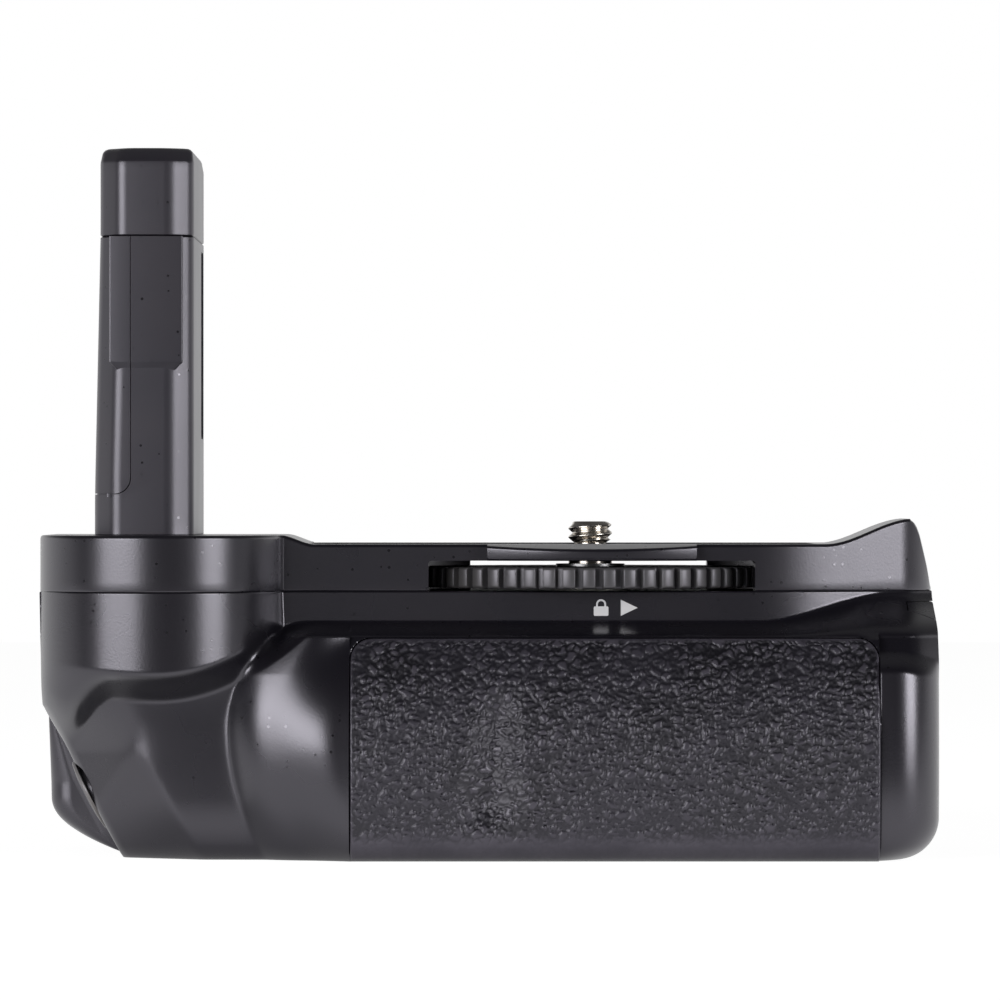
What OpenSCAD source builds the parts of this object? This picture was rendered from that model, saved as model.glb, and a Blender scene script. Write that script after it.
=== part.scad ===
// Camera battery grip: two battery slots behind an end door, a post for the camera's battery
// chamber, a locking wheel with the camera screw, and a vertical shutter release.
// X runs to the right seen from the front, Y to the rear and Z up. The origin lies on the
// screw axis, in the base plane.

/* [Housing] */
// Screw axis to the left end
left_reach = 78.7; // [77:0.1:82]
// Screw axis to the right end
right_reach = 49.2; // [48:0.1:54]
// Screw axis to the rear face
rear_reach = 24.2; // [23.6:0.1:24.7]
// Screw axis to the crown of the front grip
crown_reach = 33; // [31.5:0.1:36]
// Height of the crown above the base
crown_z = 15; // [13:0.5:17]
// Floor thickness
floor_t = 2.2; // [1.8:0.1:2.8]
// Rear wall thickness
rear_wall = 1.6; // [1.4:0.1:2]
// Front wall thickness beside the battery bay
face_wall = 1.7; // [1.4:0.1:2.5]
// Radius of the lower right corner
base_corner = 6; // [5:0.5:7]
// Radius of the lower front and rear edges
edge_r = 2.4; // [1.5:0.1:3]
// Height of the upper housing
deck_h = 6.7; // [6.5:0.1:8]
// Thickness of the deck over the wheel
deck_t = 2.35; // [2:0.05:2.5]
// Rise of the horn at the right end
horn_h = 3.6; // [2.5:0.1:5]

/* [Hand grip] */
// Radius of the hand-grip plinth
grip_r = 17.1; // [16.5:0.1:17.6]
// Plinth arc centre in front of the screw axis
grip_lead = 17; // [16:0.1:18]
// Rise of the plinth above the deck
plinth_h = 1.3; // [0.8:0.1:2]
// Screw axis to the floor of the finger groove
groove_reach = 26.5; // [25.5:0.1:28]
// Fall of the fold beside the shutter notch, per millimetre
fold_slope = 0.72; // [0.6:0.01:0.8]

/* [Battery packs] */
// Length of one pack
pack_l = 53; // [48:0.5:55]
// Width of one pack
pack_w = 38; // [36:0.1:38.5]
// Thickness of one pack
pack_t = 14; // [13:0.1:15]
// Slack of a pack in its slot
pack_slack = 0.4; // [0.2:0.1:0.8]
// Wall between and around the slots
bay_wall = 1; // [0.8:0.1:1.2]
// Side wall of the bay
bay_side = 0.8; // [0.6:0.1:1]

/* [Skins] */
// Thickness of the leather-grained skins
skin_t = 0.9; // [0.6:0.1:1]
// Left edge of the front skin from the screw axis
skin_left = 34.3; // [30:0.1:36]
// Right edge of the front skin from the screw axis
skin_right = 40.5; // [38:0.1:41]
// Margin above the front skin
skin_margin = 6.5; // [6:0.1:8]
// Finger dent in the front skin, from the screw axis
dent_offset = 15; // [10:0.5:20]
// Height of the dent's middle
dent_z = 16; // [14:0.5:18]
// Width of the dent
dent_w = 11; // [8:0.5:14]
// Height of the dent
dent_h = 17; // [12:0.5:20]
// Depth of the dent
dent_depth = 1.6; // [0.8:0.1:2.4]

/* [Post] */
// Screw axis to the middle of the post
post_offset = 63.3; // [62:0.1:64]
// Thickness of the post
post_t = 13.4; // [13:0.1:14]
// Depth of the post from front to rear
post_d = 38; // [36:0.5:39]
// Front of the post ahead of the screw axis
post_lead = 24; // [22:0.5:25]
// Height of the post above the plinth
post_h = 55.1; // [50:0.1:60]
// Depth of the chamfers along the post's edges
post_chamfer = 2; // [1:0.1:2.4]
// Width of these chamfers across the front
post_bevel = 3.5; // [2:0.1:4]
// Height of the slope at the cap's end
cap_slope = 2; // [1:0.1:3]
// Height of the end cap
cap_h = 12.6; // [10:0.1:14]
// Height of the solid foot
foot_h = 5.8; // [5:0.1:8]
// Width of the clip-on cover
cover_w = 4.6; // [4:0.1:5]

/* [Locking wheel] */
// Radius of the wheel
wheel_r = 25; // [24.8:0.1:25.4]
// Thickness of the wheel
wheel_t = 3; // [2.6:0.1:3.1]
// Number of teeth
tooth_n = 54; // [40:1:70]
// Depth of the teeth
tooth_depth = 1.3; // [0.8:0.1:1.8]
// Width of the front wheel slot
slot_w = 46.6; // [44:0.1:48]
// Width of the rear wheel slot
rear_slot_w = 35; // [30:0.5:38]
// Radius of the visor over the wheel
visor_r = 24.5; // [23.5:0.1:25]
// Fall of the visor's top towards its front
visor_fall = 1; // [0.5:0.1:1.4]

/* [Camera screw] */
// Radius of the 1/4 inch camera screw
screw_r = 3.175; // [3:0.005:3.3]
// Rise of the screw above the deck
screw_rise = 3.2; // [2.5:0.1:4.5]
// Depth of the tripod socket
socket_depth = 4.7; // [4.5:0.1:5.5]

/* [Shutter release] */
// Radius of the button
button_r = 4.2; // [3.6:0.1:4.4]
// Rise of the bezel above the notch
bezel_rise = 0.65; // [0.4:0.05:1]
// Travel of the button
button_travel = 0.6; // [0.4:0.1:0.8]
// Button axis ahead of the screw axis
button_lead = 13.5; // [13:0.1:14]
// Height of the button's centre
button_z = 8.9; // [8.5:0.1:9.5]
// Screw axis to the button's centre
button_offset = 71.6; // [71:0.1:72]
// Tilt of the button's axis from straight up
notch_tilt = 117.6; // [114:0.1:120]

/* [Door and latch] */
// Thickness of the battery door
door_t = 2.4; // [2:0.1:2.6]
// Height of the hinge axis
hinge_z = 4.3; // [4.2:0.1:4.6]
// Outer face of the door to the hinge axis
hinge_inset = 3.4; // [3.2:0.1:3.6]
// Radius of the hinge pin
pin_r = 0.9; // [0.7:0.05:1]
// Length of the latch's thumb piece
latch_l = 14.4; // [12:0.1:15]
// Width of the latch's thumb piece
latch_w = 12; // [9:0.5:14]
// Rise of the latch from the door
latch_rise = 0.85; // [0.5:0.05:1]
// Travel of the latch
latch_travel = 2.5; // [1.5:0.1:3]

/* [Clearances] */
// Gap between a moving piece and the housing
move_gap = 0.3; // [0.2:0.05:0.4]
// Gap between fixed pieces that sit together
seat_gap = 0.1; // [0.05:0.01:0.15]
// Radial running clearance of pins and shafts
run_gap = 0.06; // [0.03:0.01:0.1]

/* [Hidden] */
$fn = 64;
big = 60;
tiny = 0.05;

// Heights, from the base up
bay_z0 = socket_depth + 0.5;
slot_h = pack_t + pack_slack;
bay_z1 = bay_z0 + 2 * slot_h + 3 * bay_wall;
plate_t = 1;
parting_z = bay_z1 + plate_t + seat_gap;
deck_z = parting_z + deck_h;
plinth_z = deck_z + plinth_h;
ceiling_z = deck_z - deck_t;
wheel_z = parting_z + 0.4;

// Battery bay
bay_y1 = rear_reach - rear_wall - seat_gap;
bay_y0 = bay_y1 - pack_w - pack_slack - 2 * bay_side;
bay_x1 = right_reach - 4;
end_wall = 1.2;
slot_l = pack_l + 2 * pack_slack;
bay_x0 = bay_x1 - slot_l - end_wall;
board_t = 1.6;
bay_board_x = bay_x0 - board_t;
chamber_x0 = bay_board_x - 3;
face_reach = face_wall + seat_gap - bay_y0;

// Hand-grip form
grip_x = grip_r - left_reach;
lip = 0.3;
ledge_h = 4.1;
skin_top = parting_z - skin_margin;
crown_top = 5.7;
crown_bottom = 2.4;
left_corner = 8.2;
left_sweep = 11;
end_taper = 1.3;
flank_reach = 8;
pillar_r = 7;
pillar_z = parting_z - 12.6;
fold_x = grip_x - 2.2;
fold_z = 15.6;
fold_dir = 60.2;
ridge_z = 19;

// Rear fittings
rear_skin_z0 = 7;
rear_skin_z1 = parting_z - 8;
slider_x = grip_x + 17.5;
slider_z = parting_z - 9;
slider_travel = 4;
jack_x = grip_x + 16;
jack_z = 13;
jack_r = 1.25;
jack_depth = 10;

// Post
post_x0 = -post_offset - post_t / 2;
post_x1 = -post_offset + post_t / 2;
post_y0 = -post_lead;
post_y1 = post_d - post_lead;
post_top = plinth_z + post_h;
cap_z = post_top - cap_h;
foot_z = plinth_z + foot_h;
seam_x = post_x0 + cover_w;
post_wall = 1.6;
relief = 0.6;
relief_h = 17.6;
relief_x0 = post_x0 + 1.2;
relief_x1 = post_x1 - 1.4;

// Hinge, door and latch
hinge_x = right_reach - hinge_inset;
barrel_r = 1.8;
door_y0 = bay_y0 + bay_side;
door_y1 = bay_y1 - bay_side / 2;
door_z1 = bay_z1 - bay_wall / 2;
knuckle_y0 = door_y0 + 7;
knuckle_y1 = door_y1 - 7;
lug_r = 3.2;
lug_z = hinge_z + lug_r + 0.6;
door_x0 = right_reach - door_t;
latch_y = (door_y0 + door_y1) / 2;
latch_z1 = door_z1 - 0.2;
stem_w = 5;
stem_h = 4;
stem_z1 = latch_z1 - 4;
bolt_t = 0.8;
spring_z0 = stem_z1 - stem_h - 5.2;

// Screws: radius of the shank, radius of the head and where they stand
m2_r = 1;
m2_head = 1.9;
post_r = 3;
plate_half = [31, 14.5];
socket_half = [16, 13];
switch_x1 = slider_x + 6 + slider_travel;
plate_inset = 2.5;
case_posts = [[grip_x + 13, -12], [grip_x + 8.3, 18.3],
    [-plate_half.x - 4.4, -12],
    [max(2.6 - plate_half.x, switch_x1 + move_gap + post_r),
        max(18.3, plate_half.y - plate_inset + m2_head + move_gap + post_r)]];
board_room = max(14.6, plate_half.y - plate_inset + m2_head + move_gap);
board_x0 = grip_x + 18;
board_x1 = min(chamber_x0 - 1, 0.6 - socket_half.x);
board_y0 = -8;
board_y1 = 12;
board_z = 6;

function ss(a, b, t) = let (u = min(1, max(0, (t - a) / (b - a)))) u * u * (3 - 2 * u);
function mix(a, b, u) = a + (b - a) * u;
function clamp01(u) = min(1, max(0, u));
// Inset of a rounded edge of radius r, at a distance d from that edge
function drop(r, d) = d >= r ? 0 : r - sqrt(r * r - pow(r - max(0, d), 2));

// Outline of the lower housing at a height z
function left_x(z) = -left_reach + end_taper * (1 - clamp01((z - left_corner) / (parting_z - left_corner)))
    + left_sweep * pow(max(0, 1 - z / left_corner), 2.2);
function right_x(z) = right_reach - drop(base_corner, z);
function rear_y(z) = rear_reach - drop(edge_r, z);

// Reach of the front surface ahead of the screw axis
function crown(z) = crown_reach - crown_top * pow(max(0, (z - crown_z) / (skin_top - crown_z)), 2)
    - crown_bottom * pow(max(0, 1 - z / crown_z), 2.5) - drop(edge_r, z);
function ledge_z(x) = parting_z - ledge_h * (1 - ss(right_reach - 25, right_reach - 6, x));
function dent(x, z) = let (
    u = (x + dent_offset - 0.25 * (z - dent_z)) / (dent_w / 2),
    v = (z - dent_z) / (dent_h / 2))
    dent_depth * pow(max(0, 1 - u * u - v * v), 2);
function above(x, z) = ss(skin_top, ledge_z(x), z);
function middle(x, z) = mix(crown(min(z, skin_top)), face_reach + lip, above(x, z)) - dent(x, z);
function pillar(x, z) = let (u = clamp01((x - right_reach + pillar_r) / pillar_r),
    up = ss(pillar_z, pillar_z + 7, z))
    mix(crown(z), face_reach + lip, up) - mix(8, 1, up) * (1 - sqrt(1 - u * u));
function groove(z) = groove_reach - drop(edge_r, z);
function flank_edge(z) = fold_x - 0.04 * pow(max(0, z - fold_z), 2);
function flank(x, z) = let (e = flank_edge(z), u = clamp01((e - x) / (e - left_x(z))))
    mix(groove(z), flank_reach, 1 - sqrt(1 - pow(u, 1.6)));
function fold(x, z) = groove(z)
    - fold_slope * max(0, (fold_x - x) * sin(fold_dir) + (fold_z - z) * cos(fold_dir));
function ridge_x(z) = grip_x + 10 + (z < ridge_z ? 0.0145 : 0.032) * pow(z - ridge_z, 2);
function palm(x, z) = x < ridge_x(z) ? min(flank(x, z), fold(x, z))
    : mix(groove(z), middle(x, z), pow(clamp01((x - ridge_x(z)) / 14), 0.6));
function hand(x, z) = x < grip_x ? palm(x, z) : mix(palm(x, z), face_reach + lip, above(x, z));
function bulge(x) = grip_lead + sqrt(max(0, grip_r * grip_r - pow(x - grip_x, 2)));
function bulge_z(x) = parting_z - 11.8 + (x > grip_x ? 0.021 : 0.007) * pow(x - grip_x, 2);
function left_form(x, z) = bulge(x) > face_reach && x < grip_x + grip_r
    ? mix(hand(x, z), bulge(x), ss(bulge_z(x) - 2.2, bulge_z(x) + 0.8, z)) : hand(x, z);
function form(x, z) = x < -skin_left ? left_form(x, z) : x > skin_right ? pillar(x, z) : middle(x, z);
function in_skin(x, z) = x > -skin_left && x < skin_right && z < skin_top;
function shell_front(x, z) = form(x, z) - (in_skin(x, z) ? skin_t + seat_gap + 0.3 * dent(x, z) : 0);

// Stations of the lower housing: across the front at a height z, and up the front
function front_stations(z) = concat(
    [for (i = [0:11]) mix(left_x(z), grip_x - 3, pow(i / 12, 1.3))],
    [for (i = [0:25]) mix(grip_x - 3, -skin_left - tiny, i / 25)],
    [for (i = [0:24]) mix(-skin_left + tiny, skin_right - tiny, i / 24)],
    [for (i = [0:8]) mix(skin_right + tiny, right_x(z), 1 - pow(1 - i / 8, 1.6))]);
heights = concat(
    [for (i = [0:4]) edge_r * pow(i / 4, 2)],
    [for (i = [1:13]) mix(edge_r, skin_top - tiny, i / 13)],
    [for (i = [0:6]) mix(skin_top + tiny, parting_z, i / 6)]);

// Rear surface behind a station x, rounded at both ends
function shell_rear(x, z) = rear_y(z) - drop(5, right_x(z) - x) - drop(9, x - left_x(z));
function lower_loop(z) = let (xs = front_stations(z), n = len(xs)) concat(
    [for (x = xs) [x, -shell_front(x, z), z]],
    [for (i = [n - 1:-1:0]) [xs[i], shell_rear(xs[i], z), z]]);

// End face of a loop: one polygon, or a ladder of triangles across a thin loop
function end_face(n, first, ladder) = !ladder ? [[for (k = [0:n - 1]) first + k]]
    : [for (k = [0:n / 2 - 2]) each [[first + k, first + k + 1, first + n - 2 - k],
        [first + k, first + n - 2 - k, first + n - 1 - k]]];
function turned(faces) = [for (f = faces) [for (k = [len(f) - 1:-1:0]) f[k]]];

// Solid through a stack of loops that all have the same number of points
module loft(loops, ladder = false) {
    n = len(loops[0]);
    m = len(loops);
    sides = [for (j = [0:m - 2], k = [0:n - 1]) let (a = j * n + k, b = j * n + (k + 1) % n)
        each [[a, a + n, b + n], [a, b + n, b]]];
    polyhedron(
        points = [for (l = loops, p = l) p],
        faces = concat(end_face(n, 0, ladder), turned(end_face(n, (m - 1) * n, ladder)), sides));
}

// Box from its lowest to its highest corner
module span(low, high) {
    translate(low) cube(high - low);
}

module at_notch() {
    translate([-button_offset, -button_lead, button_z]) rotate([0, -notch_tilt, 0]) children();
}

module at_hinge(y0, y1, r) {
    translate([hinge_x, y0, hinge_z]) rotate([-90, 0, 0]) cylinder(h = y1 - y0, r = r);
}

module at_rear(x, z, depth, r) {
    translate([x, rear_reach + 1, z]) rotate([90, 0, 0]) cylinder(h = depth + 1, r = r);
}

// Coil of wire along Z, swept as one tube
module coil(r, wire_r, h, turns) {
    steps = 8 * turns;
    pitch = (h - 2 * wire_r) / turns;
    rings = [for (i = [0:steps]) let (a = i * 45, z = wire_r + pitch * i / 8)
        [for (s = [0:5]) let (q = r + wire_r * cos(s * 60))
            [q * cos(a), q * sin(a), z + wire_r * sin(s * 60)]]];
    echo("coil gap", pitch - 2 * wire_r);
    loft(rings);
}

module shell_cavities() {
    top = parting_z + 1;
    front = face_reach - face_wall;
    span([chamber_x0, -front, bay_z0], [bay_x1 + move_gap, bay_y1 + seat_gap, top]);
    span([-socket_half.x - 1, -socket_half.y - 1, floor_t],
        [socket_half.x + 1, socket_half.y + 1, bay_z0 + tiny]);
    span([grip_x + 7, -board_room, floor_t], [chamber_x0 + tiny, bay_y1 + seat_gap, top]);
    span([grip_x - 8, -9, 15], [grip_x + 7 + tiny, bay_y1 - 5, top]);
    span([grip_x + 20, -24, floor_t + 1], [skin_right - 3, -front + tiny, skin_top - 3]);
}

module door_opening() {
    gap = move_gap;
    span([bay_x1 - tiny, door_y0 - gap, lug_z - gap], [big, door_y1 + gap, door_z1 + gap]);
    at_hinge(knuckle_y0 - gap, knuckle_y1 + gap, hinge_inset + gap);
    span([hinge_x, knuckle_y0 - gap, hinge_z - hinge_inset], [big, knuckle_y1 + gap, lug_z]);
    span([bay_x1 - tiny, knuckle_y0 - gap, hinge_z], [big, knuckle_y1 + gap, lug_z]);
    difference() {
        span([hinge_x - 1, door_y0 - gap, hinge_z], [big, door_y1 + gap, lug_z]);
        at_hinge(door_y0 - 1, door_y1 + 1, lug_r);
    }
}

module lower_shell() {
    color("#1d1b21") difference() {
        union() {
            difference() {
                loft([for (z = heights) lower_loop(z)], ladder = true);
                shell_cavities();
            }
            for (p = case_posts) translate([p.x, p.y, floor_t - tiny])
                cylinder(h = parting_z - floor_t + tiny, r = post_r);
            for (x = [board_x0 + 3, board_x1 - 3], y = [board_y0 + 3, board_y1 - 3])
                translate([x, y, floor_t - tiny]) cylinder(h = board_z - floor_t + tiny, r = 1.6);
        }
        // Shutter notch, bezel seat, button pocket and its wire way
        at_notch() {
            span([-18, -big, 0], [18, 8.5, 20]);
            translate([0, 0, -0.8]) cylinder(h = 2, r = button_r + 1.2 + seat_gap);
            translate([0, 0, -3]) cylinder(h = 4, r = button_r + run_gap);
            translate([0, 0, -9]) cylinder(h = 7, r = button_r + 1.3);
            translate([0, 2, -14]) cylinder(h = 6, r = 2);
        }
        span([grip_x - 3, -button_lead, 12], [grip_x + 8, -8, 18]);
        door_opening();
        at_hinge(door_y0 - 4, door_y1 + 1, pin_r + 0.02);
        // Tripod socket and its plate's screws
        translate([0, 0, -1]) cylinder(h = bay_z0, r = 5 + seat_gap);
        translate([0, 0, -1]) cylinder(h = 2.2 + seat_gap, r = 8.5 + seat_gap);
        for (x = [-1, 1], y = [-1, 1])
            translate([x * (socket_half.x - 3), y * (socket_half.y - 3), 0.6])
                cylinder(h = 4, r = m2_r + seat_gap);
        // Case screws
        for (p = case_posts) translate([p.x, p.y, -1]) {
            cylinder(h = parting_z + 2, r = m2_r + seat_gap);
            cylinder(h = 4.7, r = m2_head + move_gap);
        }
        // Rear skin seat, lock slider slot and remote jack
        span([-skin_left, rear_reach - skin_t, rear_skin_z0], [skin_right, big, rear_skin_z1]);
        span([slider_x - 4.6, bay_y1, slider_z - 2.5], [slider_x + 4.6 + slider_travel, big, slider_z + 2.5]);
        at_rear(jack_x, jack_z, 6, 2.8 + seat_gap);
    }
}

module plan_right() {
    r = 9;
    x1 = right_reach - 0.4;
    polygon(concat(
        [[grip_x, rear_reach], [grip_x, -face_reach]],
        [for (a = [-90:15:0]) [x1 - 1.3 * r + 1.3 * r * cos(a), -face_reach + 0.8 * r + 0.8 * r * sin(a)]],
        [for (a = [0:18:90]) [x1 - 5 + 5 * cos(a), rear_reach - 5 + 5 * sin(a)]]));
}

module plan_left(rear) {
    polygon(concat(
        [for (a = [180:6:360]) [grip_x + grip_r * cos(a), -grip_lead + grip_r * sin(a)]],
        [[grip_x + grip_r, rear]],
        [for (a = [90:15:180]) [grip_x - grip_r + 9 + 9 * cos(a), rear - 9 + 9 * sin(a)]]));
}

module horn() {
    translate([0, 16, 0]) rotate([90, 0, 0]) linear_extrude(29)
        polygon([[right_reach - 15, deck_z - 0.1], [right_reach - 11, deck_z + 0.25 * horn_h],
            [right_reach - 8.2, deck_z + 0.55 * horn_h], [right_reach - 5, deck_z + 0.94 * horn_h],
            [right_reach - 2.6, deck_z + horn_h], [right_reach - 1.1, deck_z + 0.11 * horn_h],
            [right_reach - 0.6, deck_z - 0.1]]);
}

module upper_shell() {
    pocket_r = wheel_r + 0.6;
    color("#1f1d23") difference() {
        union() {
            translate([0, 0, parting_z]) linear_extrude(deck_h) plan_right();
            translate([0, 0, parting_z]) linear_extrude(deck_h) plan_left(rear_reach);
            translate([0, 0, deck_z - tiny]) linear_extrude(plinth_h + tiny) plan_left(16);
            intersection() {
                translate([0, 0, ceiling_z]) cylinder(h = deck_t, r = visor_r);
                translate([-visor_r, 0, 0]) rotate([90, 0, 90]) linear_extrude(2 * visor_r)
                    polygon([[0, ceiling_z], [0, deck_z], [-face_reach, deck_z],
                        [-visor_r, deck_z - visor_fall], [-visor_r, ceiling_z]]);
            }
            horn();
        }
        // Wheel pocket with its front and rear slots
        translate([0, 0, parting_z - 1]) cylinder(h = ceiling_z - parting_z + 1, r = pocket_r);
        span([-slot_w / 2, -big, parting_z - 1], [slot_w / 2, -9, ceiling_z]);
        span([-rear_slot_w / 2, 9, parting_z - 1], [rear_slot_w / 2, big, ceiling_z]);
        translate([0, 0, parting_z]) cylinder(h = deck_h + 1, r = screw_r + 0.5);
        // Hollow under the plinth, around the case screws
        difference() {
            span([grip_x - 13, -14, parting_z - 1], [-pocket_r - 3, rear_reach - 4, ceiling_z]);
            for (p = case_posts) translate([p.x, p.y, parting_z - 2]) cylinder(h = deck_h, r = post_r);
            span([-plate_half.x - 1, -big, parting_z - 2], [0, big, deck_z]);
        }
        for (p = case_posts) translate([p.x, p.y, parting_z - 1]) cylinder(h = 4.8, r = m2_r + seat_gap);
        for (x = [-1, 1], y = [-1, 1])
            translate([x * (plate_half.x - plate_inset), y * (plate_half.y - plate_inset), parting_z - 1])
                cylinder(h = 4.5, r = m2_r + seat_gap);
        // Post screws and wire way
        for (y = [post_y0 + 6, post_y1 - 5]) translate([-post_offset, y, parting_z])
            cylinder(h = big, r = m2_r + seat_gap);
        for (y = [post_y0 + 6, post_y1 - 5]) translate([-post_offset, y, parting_z - 1])
            cylinder(h = ceiling_z - parting_z + 1, r = m2_head + 1);
        span([-post_offset - 3, -8, parting_z], [-post_offset + 3, 4, big]);
        // Seat of the top pad
        span([grip_x + grip_r + 4, -face_reach + 5, deck_z - 0.8], [right_reach - 17, rear_reach - 4, big]);
    }
}

module front_grip_skin() {
    x0 = -skin_left + seat_gap;
    x1 = skin_right - seat_gap;
    n = 24;
    xs = [for (i = [0:n]) mix(x0, x1, i / n)];
    zs = concat(
        [for (i = [1:4]) edge_r * pow(i / 4, 2)],
        [for (i = [1:13]) mix(edge_r, skin_top - seat_gap, i / 13)]);
    color("#222025") loft([for (z = zs) concat(
        [for (x = xs) [x, -middle(x, z), z]],
        [for (i = [n:-1:0]) [xs[i], skin_t - middle(xs[i], z), z]])], ladder = true);
}

module rear_grip_skin() {
    color("#222025") span(
        [-skin_left + seat_gap, rear_reach - skin_t, rear_skin_z0 + seat_gap],
        [skin_right - seat_gap, rear_reach, rear_skin_z1 - seat_gap]);
}

module top_pad() {
    g = seat_gap;
    color("#161519") difference() {
        span([grip_x + grip_r + 4 + g, -face_reach + 5 + g, deck_z - 0.8],
            [right_reach - 17 - g, rear_reach - 4 - g, deck_z]);
        translate([0, 0, deck_z - 1]) cylinder(h = 2, r = screw_r + 2);
    }
}

// Outline of the post from x0 to x1, chamfered along the post's own corners and drawn in by inset
function post_outline(x0, x1, inset = 0) = let (
    c0 = x0 > post_x0 ? [0, 0] : [post_bevel, post_chamfer],
    c1 = x1 < post_x1 ? [0, 0] : [post_bevel, post_chamfer],
    y0 = post_y0 + inset,
    y1 = post_y1 - inset)
    [[x0 + c0.x, y0], [x1 - c1.x, y0], [x1, y0 + c1.y], [x1, y1 - c1.y],
        [x1 - c1.x, y1], [x0 + c0.x, y1], [x0, y1 - c0.y], [x0, y0 + c0.y]];

module post_plan(x0, x1) {
    polygon(post_outline(x0, x1));
}

module post_relief(x0, x1) {
    span([x0, post_y0 - relief, cap_z - relief_h - seat_gap], [x1, post_y0 + post_chamfer, cap_z - seat_gap]);
}

module post_shell() {
    h = cap_z - plinth_z - seat_gap;
    color("#1e1c22") difference() {
        union() {
            translate([0, 0, plinth_z]) linear_extrude(h) post_plan(seam_x, post_x1);
            translate([0, 0, plinth_z]) linear_extrude(foot_h) post_plan(post_x0 + 0.3, post_x1);
            post_relief(seam_x, relief_x1);
        }
        span([seam_x - tiny, post_y0 + post_wall + 1, foot_z],
            [post_x1 - post_wall, post_y1 - post_wall - 1, big * 2]);
        span([-post_offset - 3, -8, plinth_z - 1], [-post_offset + 3, 4, foot_z + 1]);
        for (y = [post_y0 + 6, post_y1 - 5]) translate([-post_offset, y, plinth_z - 1])
            cylinder(h = 5.5, r = m2_r + seat_gap);
    }
}

module post_cover() {
    z0 = foot_z + seat_gap;
    color("#201e24") difference() {
        union() {
            translate([0, 0, z0]) linear_extrude(cap_z - seat_gap - z0) post_plan(post_x0, seam_x - seat_gap);
            post_relief(relief_x0, seam_x - seat_gap);
        }
        span([post_x0 + post_wall, post_y0 + post_wall + 1, z0 + 2],
            [seam_x, post_y1 - post_wall - 1, cap_z - 2]);
    }
}

module post_cap() {
    color("#1e1c22") difference() {
        union() {
            translate([0, 0, cap_z]) linear_extrude(cap_h - cap_slope) post_plan(post_x0, post_x1);
            loft([for (q = [[post_top - cap_slope - tiny, 0], [post_top - cap_slope, 0], [post_top, 1.6]])
                [for (p = post_outline(post_x0, post_x1, q[1])) [p.x, p.y, q[0]]]]);
        }
        span([post_x0 + post_wall + 1, post_y0 + post_wall + 1, cap_z - 1],
            [post_x1 - post_wall - 1, post_y1 - post_wall - 1, post_top - 5]);
        span([-post_offset - 2.4, post_y0 + 8, post_top - 6],
            [-post_offset + 2.4, post_y0 + 25, post_top + 1]);
    }
}

module post_board() {
    color("darkgreen") span([-post_offset + 1.2, post_y0 + 7, foot_z + 8],
        [-post_offset + 2.4, post_y0 + 26, post_top - 5.1]);
}

module post_contacts() {
    color("gold") for (i = [0:2])
        span([-post_offset - 1.9, post_y0 + 9 + i * 5.5, post_top - 9],
            [-post_offset + 1.2, post_y0 + 12.5 + i * 5.5, post_top - 1]);
}

module post_screws() {
    color("silver") for (y = [post_y0 + 6, post_y1 - 5]) translate([-post_offset, y, 0]) {
        translate([0, 0, ceiling_z - 1.4]) cylinder(h = 1.4, r = m2_head);
        translate([0, 0, ceiling_z - 0.1]) cylinder(h = plinth_z + 4 - ceiling_z, r = m2_r);
    }
}

module locking_wheel() {
    pitch = 360 / tooth_n;
    root = wheel_r - tooth_depth;
    tooth = [[0, root], [0.12, wheel_r], [0.58, wheel_r], [0.7, root]];
    color("#19181c") translate([0, 0, wheel_z]) difference() {
        linear_extrude(wheel_t) polygon([for (i = [0:tooth_n - 1], q = tooth)
            q[1] * [cos((i + q[0]) * pitch), sin((i + q[0]) * pitch)]]);
        translate([0, 0, -1]) cylinder(h = wheel_t + 2, r = screw_r + 0.02);
    }
}

module mount_screw() {
    foot = parting_z + 0.15;
    color("#c9c6c0") difference() {
        union() {
            translate([0, 0, foot]) cylinder(h = deck_z + screw_rise - foot, r = screw_r);
            translate([0, 0, foot]) cylinder(h = wheel_z - foot, r = 6);
            translate([0, 0, bay_z1 + 0.1]) cylinder(h = foot - bay_z1, r = 2);
        }
        screw_groove(wheel_z + wheel_t, 0.4);
        screw_groove(deck_z - 1.4, 1.5);
    }
}

// Groove around the camera screw, from a height z
module screw_groove(z, h) {
    translate([0, 0, z]) difference() {
        cylinder(h = h, r = 8);
        translate([0, 0, -1]) cylinder(h = h + 2, r = screw_r - 0.5);
    }
}

module screw_clip() {
    color("gray") translate([0, 0, wheel_z + wheel_t]) difference() {
        cylinder(h = 0.38, r = 5);
        translate([0, 0, -1]) cylinder(h = 3, r = screw_r - 0.48);
    }
}

module wheel_washer() {
    color("white") translate([0, 0, parting_z - seat_gap]) difference() {
        cylinder(h = 0.2, r = 6);
        translate([0, 0, -1]) cylinder(h = 3, r = 2.4);
    }
}

module wheel_plate() {
    color("silver") difference() {
        span([-plate_half.x, -plate_half.y, bay_z1], [plate_half.x, plate_half.y, bay_z1 + plate_t]);
        translate([0, 0, bay_z1 - 1]) cylinder(h = plate_t + 2, r = 2 + run_gap);
        for (x = [-1, 1], y = [-1, 1])
            translate([x * (plate_half.x - plate_inset), y * (plate_half.y - plate_inset), bay_z1 - 1]) {
                cylinder(h = plate_t + 2, r = m2_r + seat_gap);
                cylinder(h = 1.6, r = m2_head + seat_gap);
            }
    }
}

module wheel_plate_screws() {
    color("gray") for (x = [-1, 1], y = [-1, 1])
        translate([x * (plate_half.x - plate_inset), y * (plate_half.y - plate_inset), bay_z1]) {
            cylinder(h = 0.6, r = m2_head);
            cylinder(h = 4, r = m2_r);
        }
}

module tripod_socket() {
    color("goldenrod") difference() {
        union() {
            cylinder(h = 1.2, r = 8.5);
            cylinder(h = bay_z0 - 0.1, r = 5);
        }
        translate([0, 0, -1]) cylinder(h = socket_depth + 1, r = screw_r + 0.025);
    }
}

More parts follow.
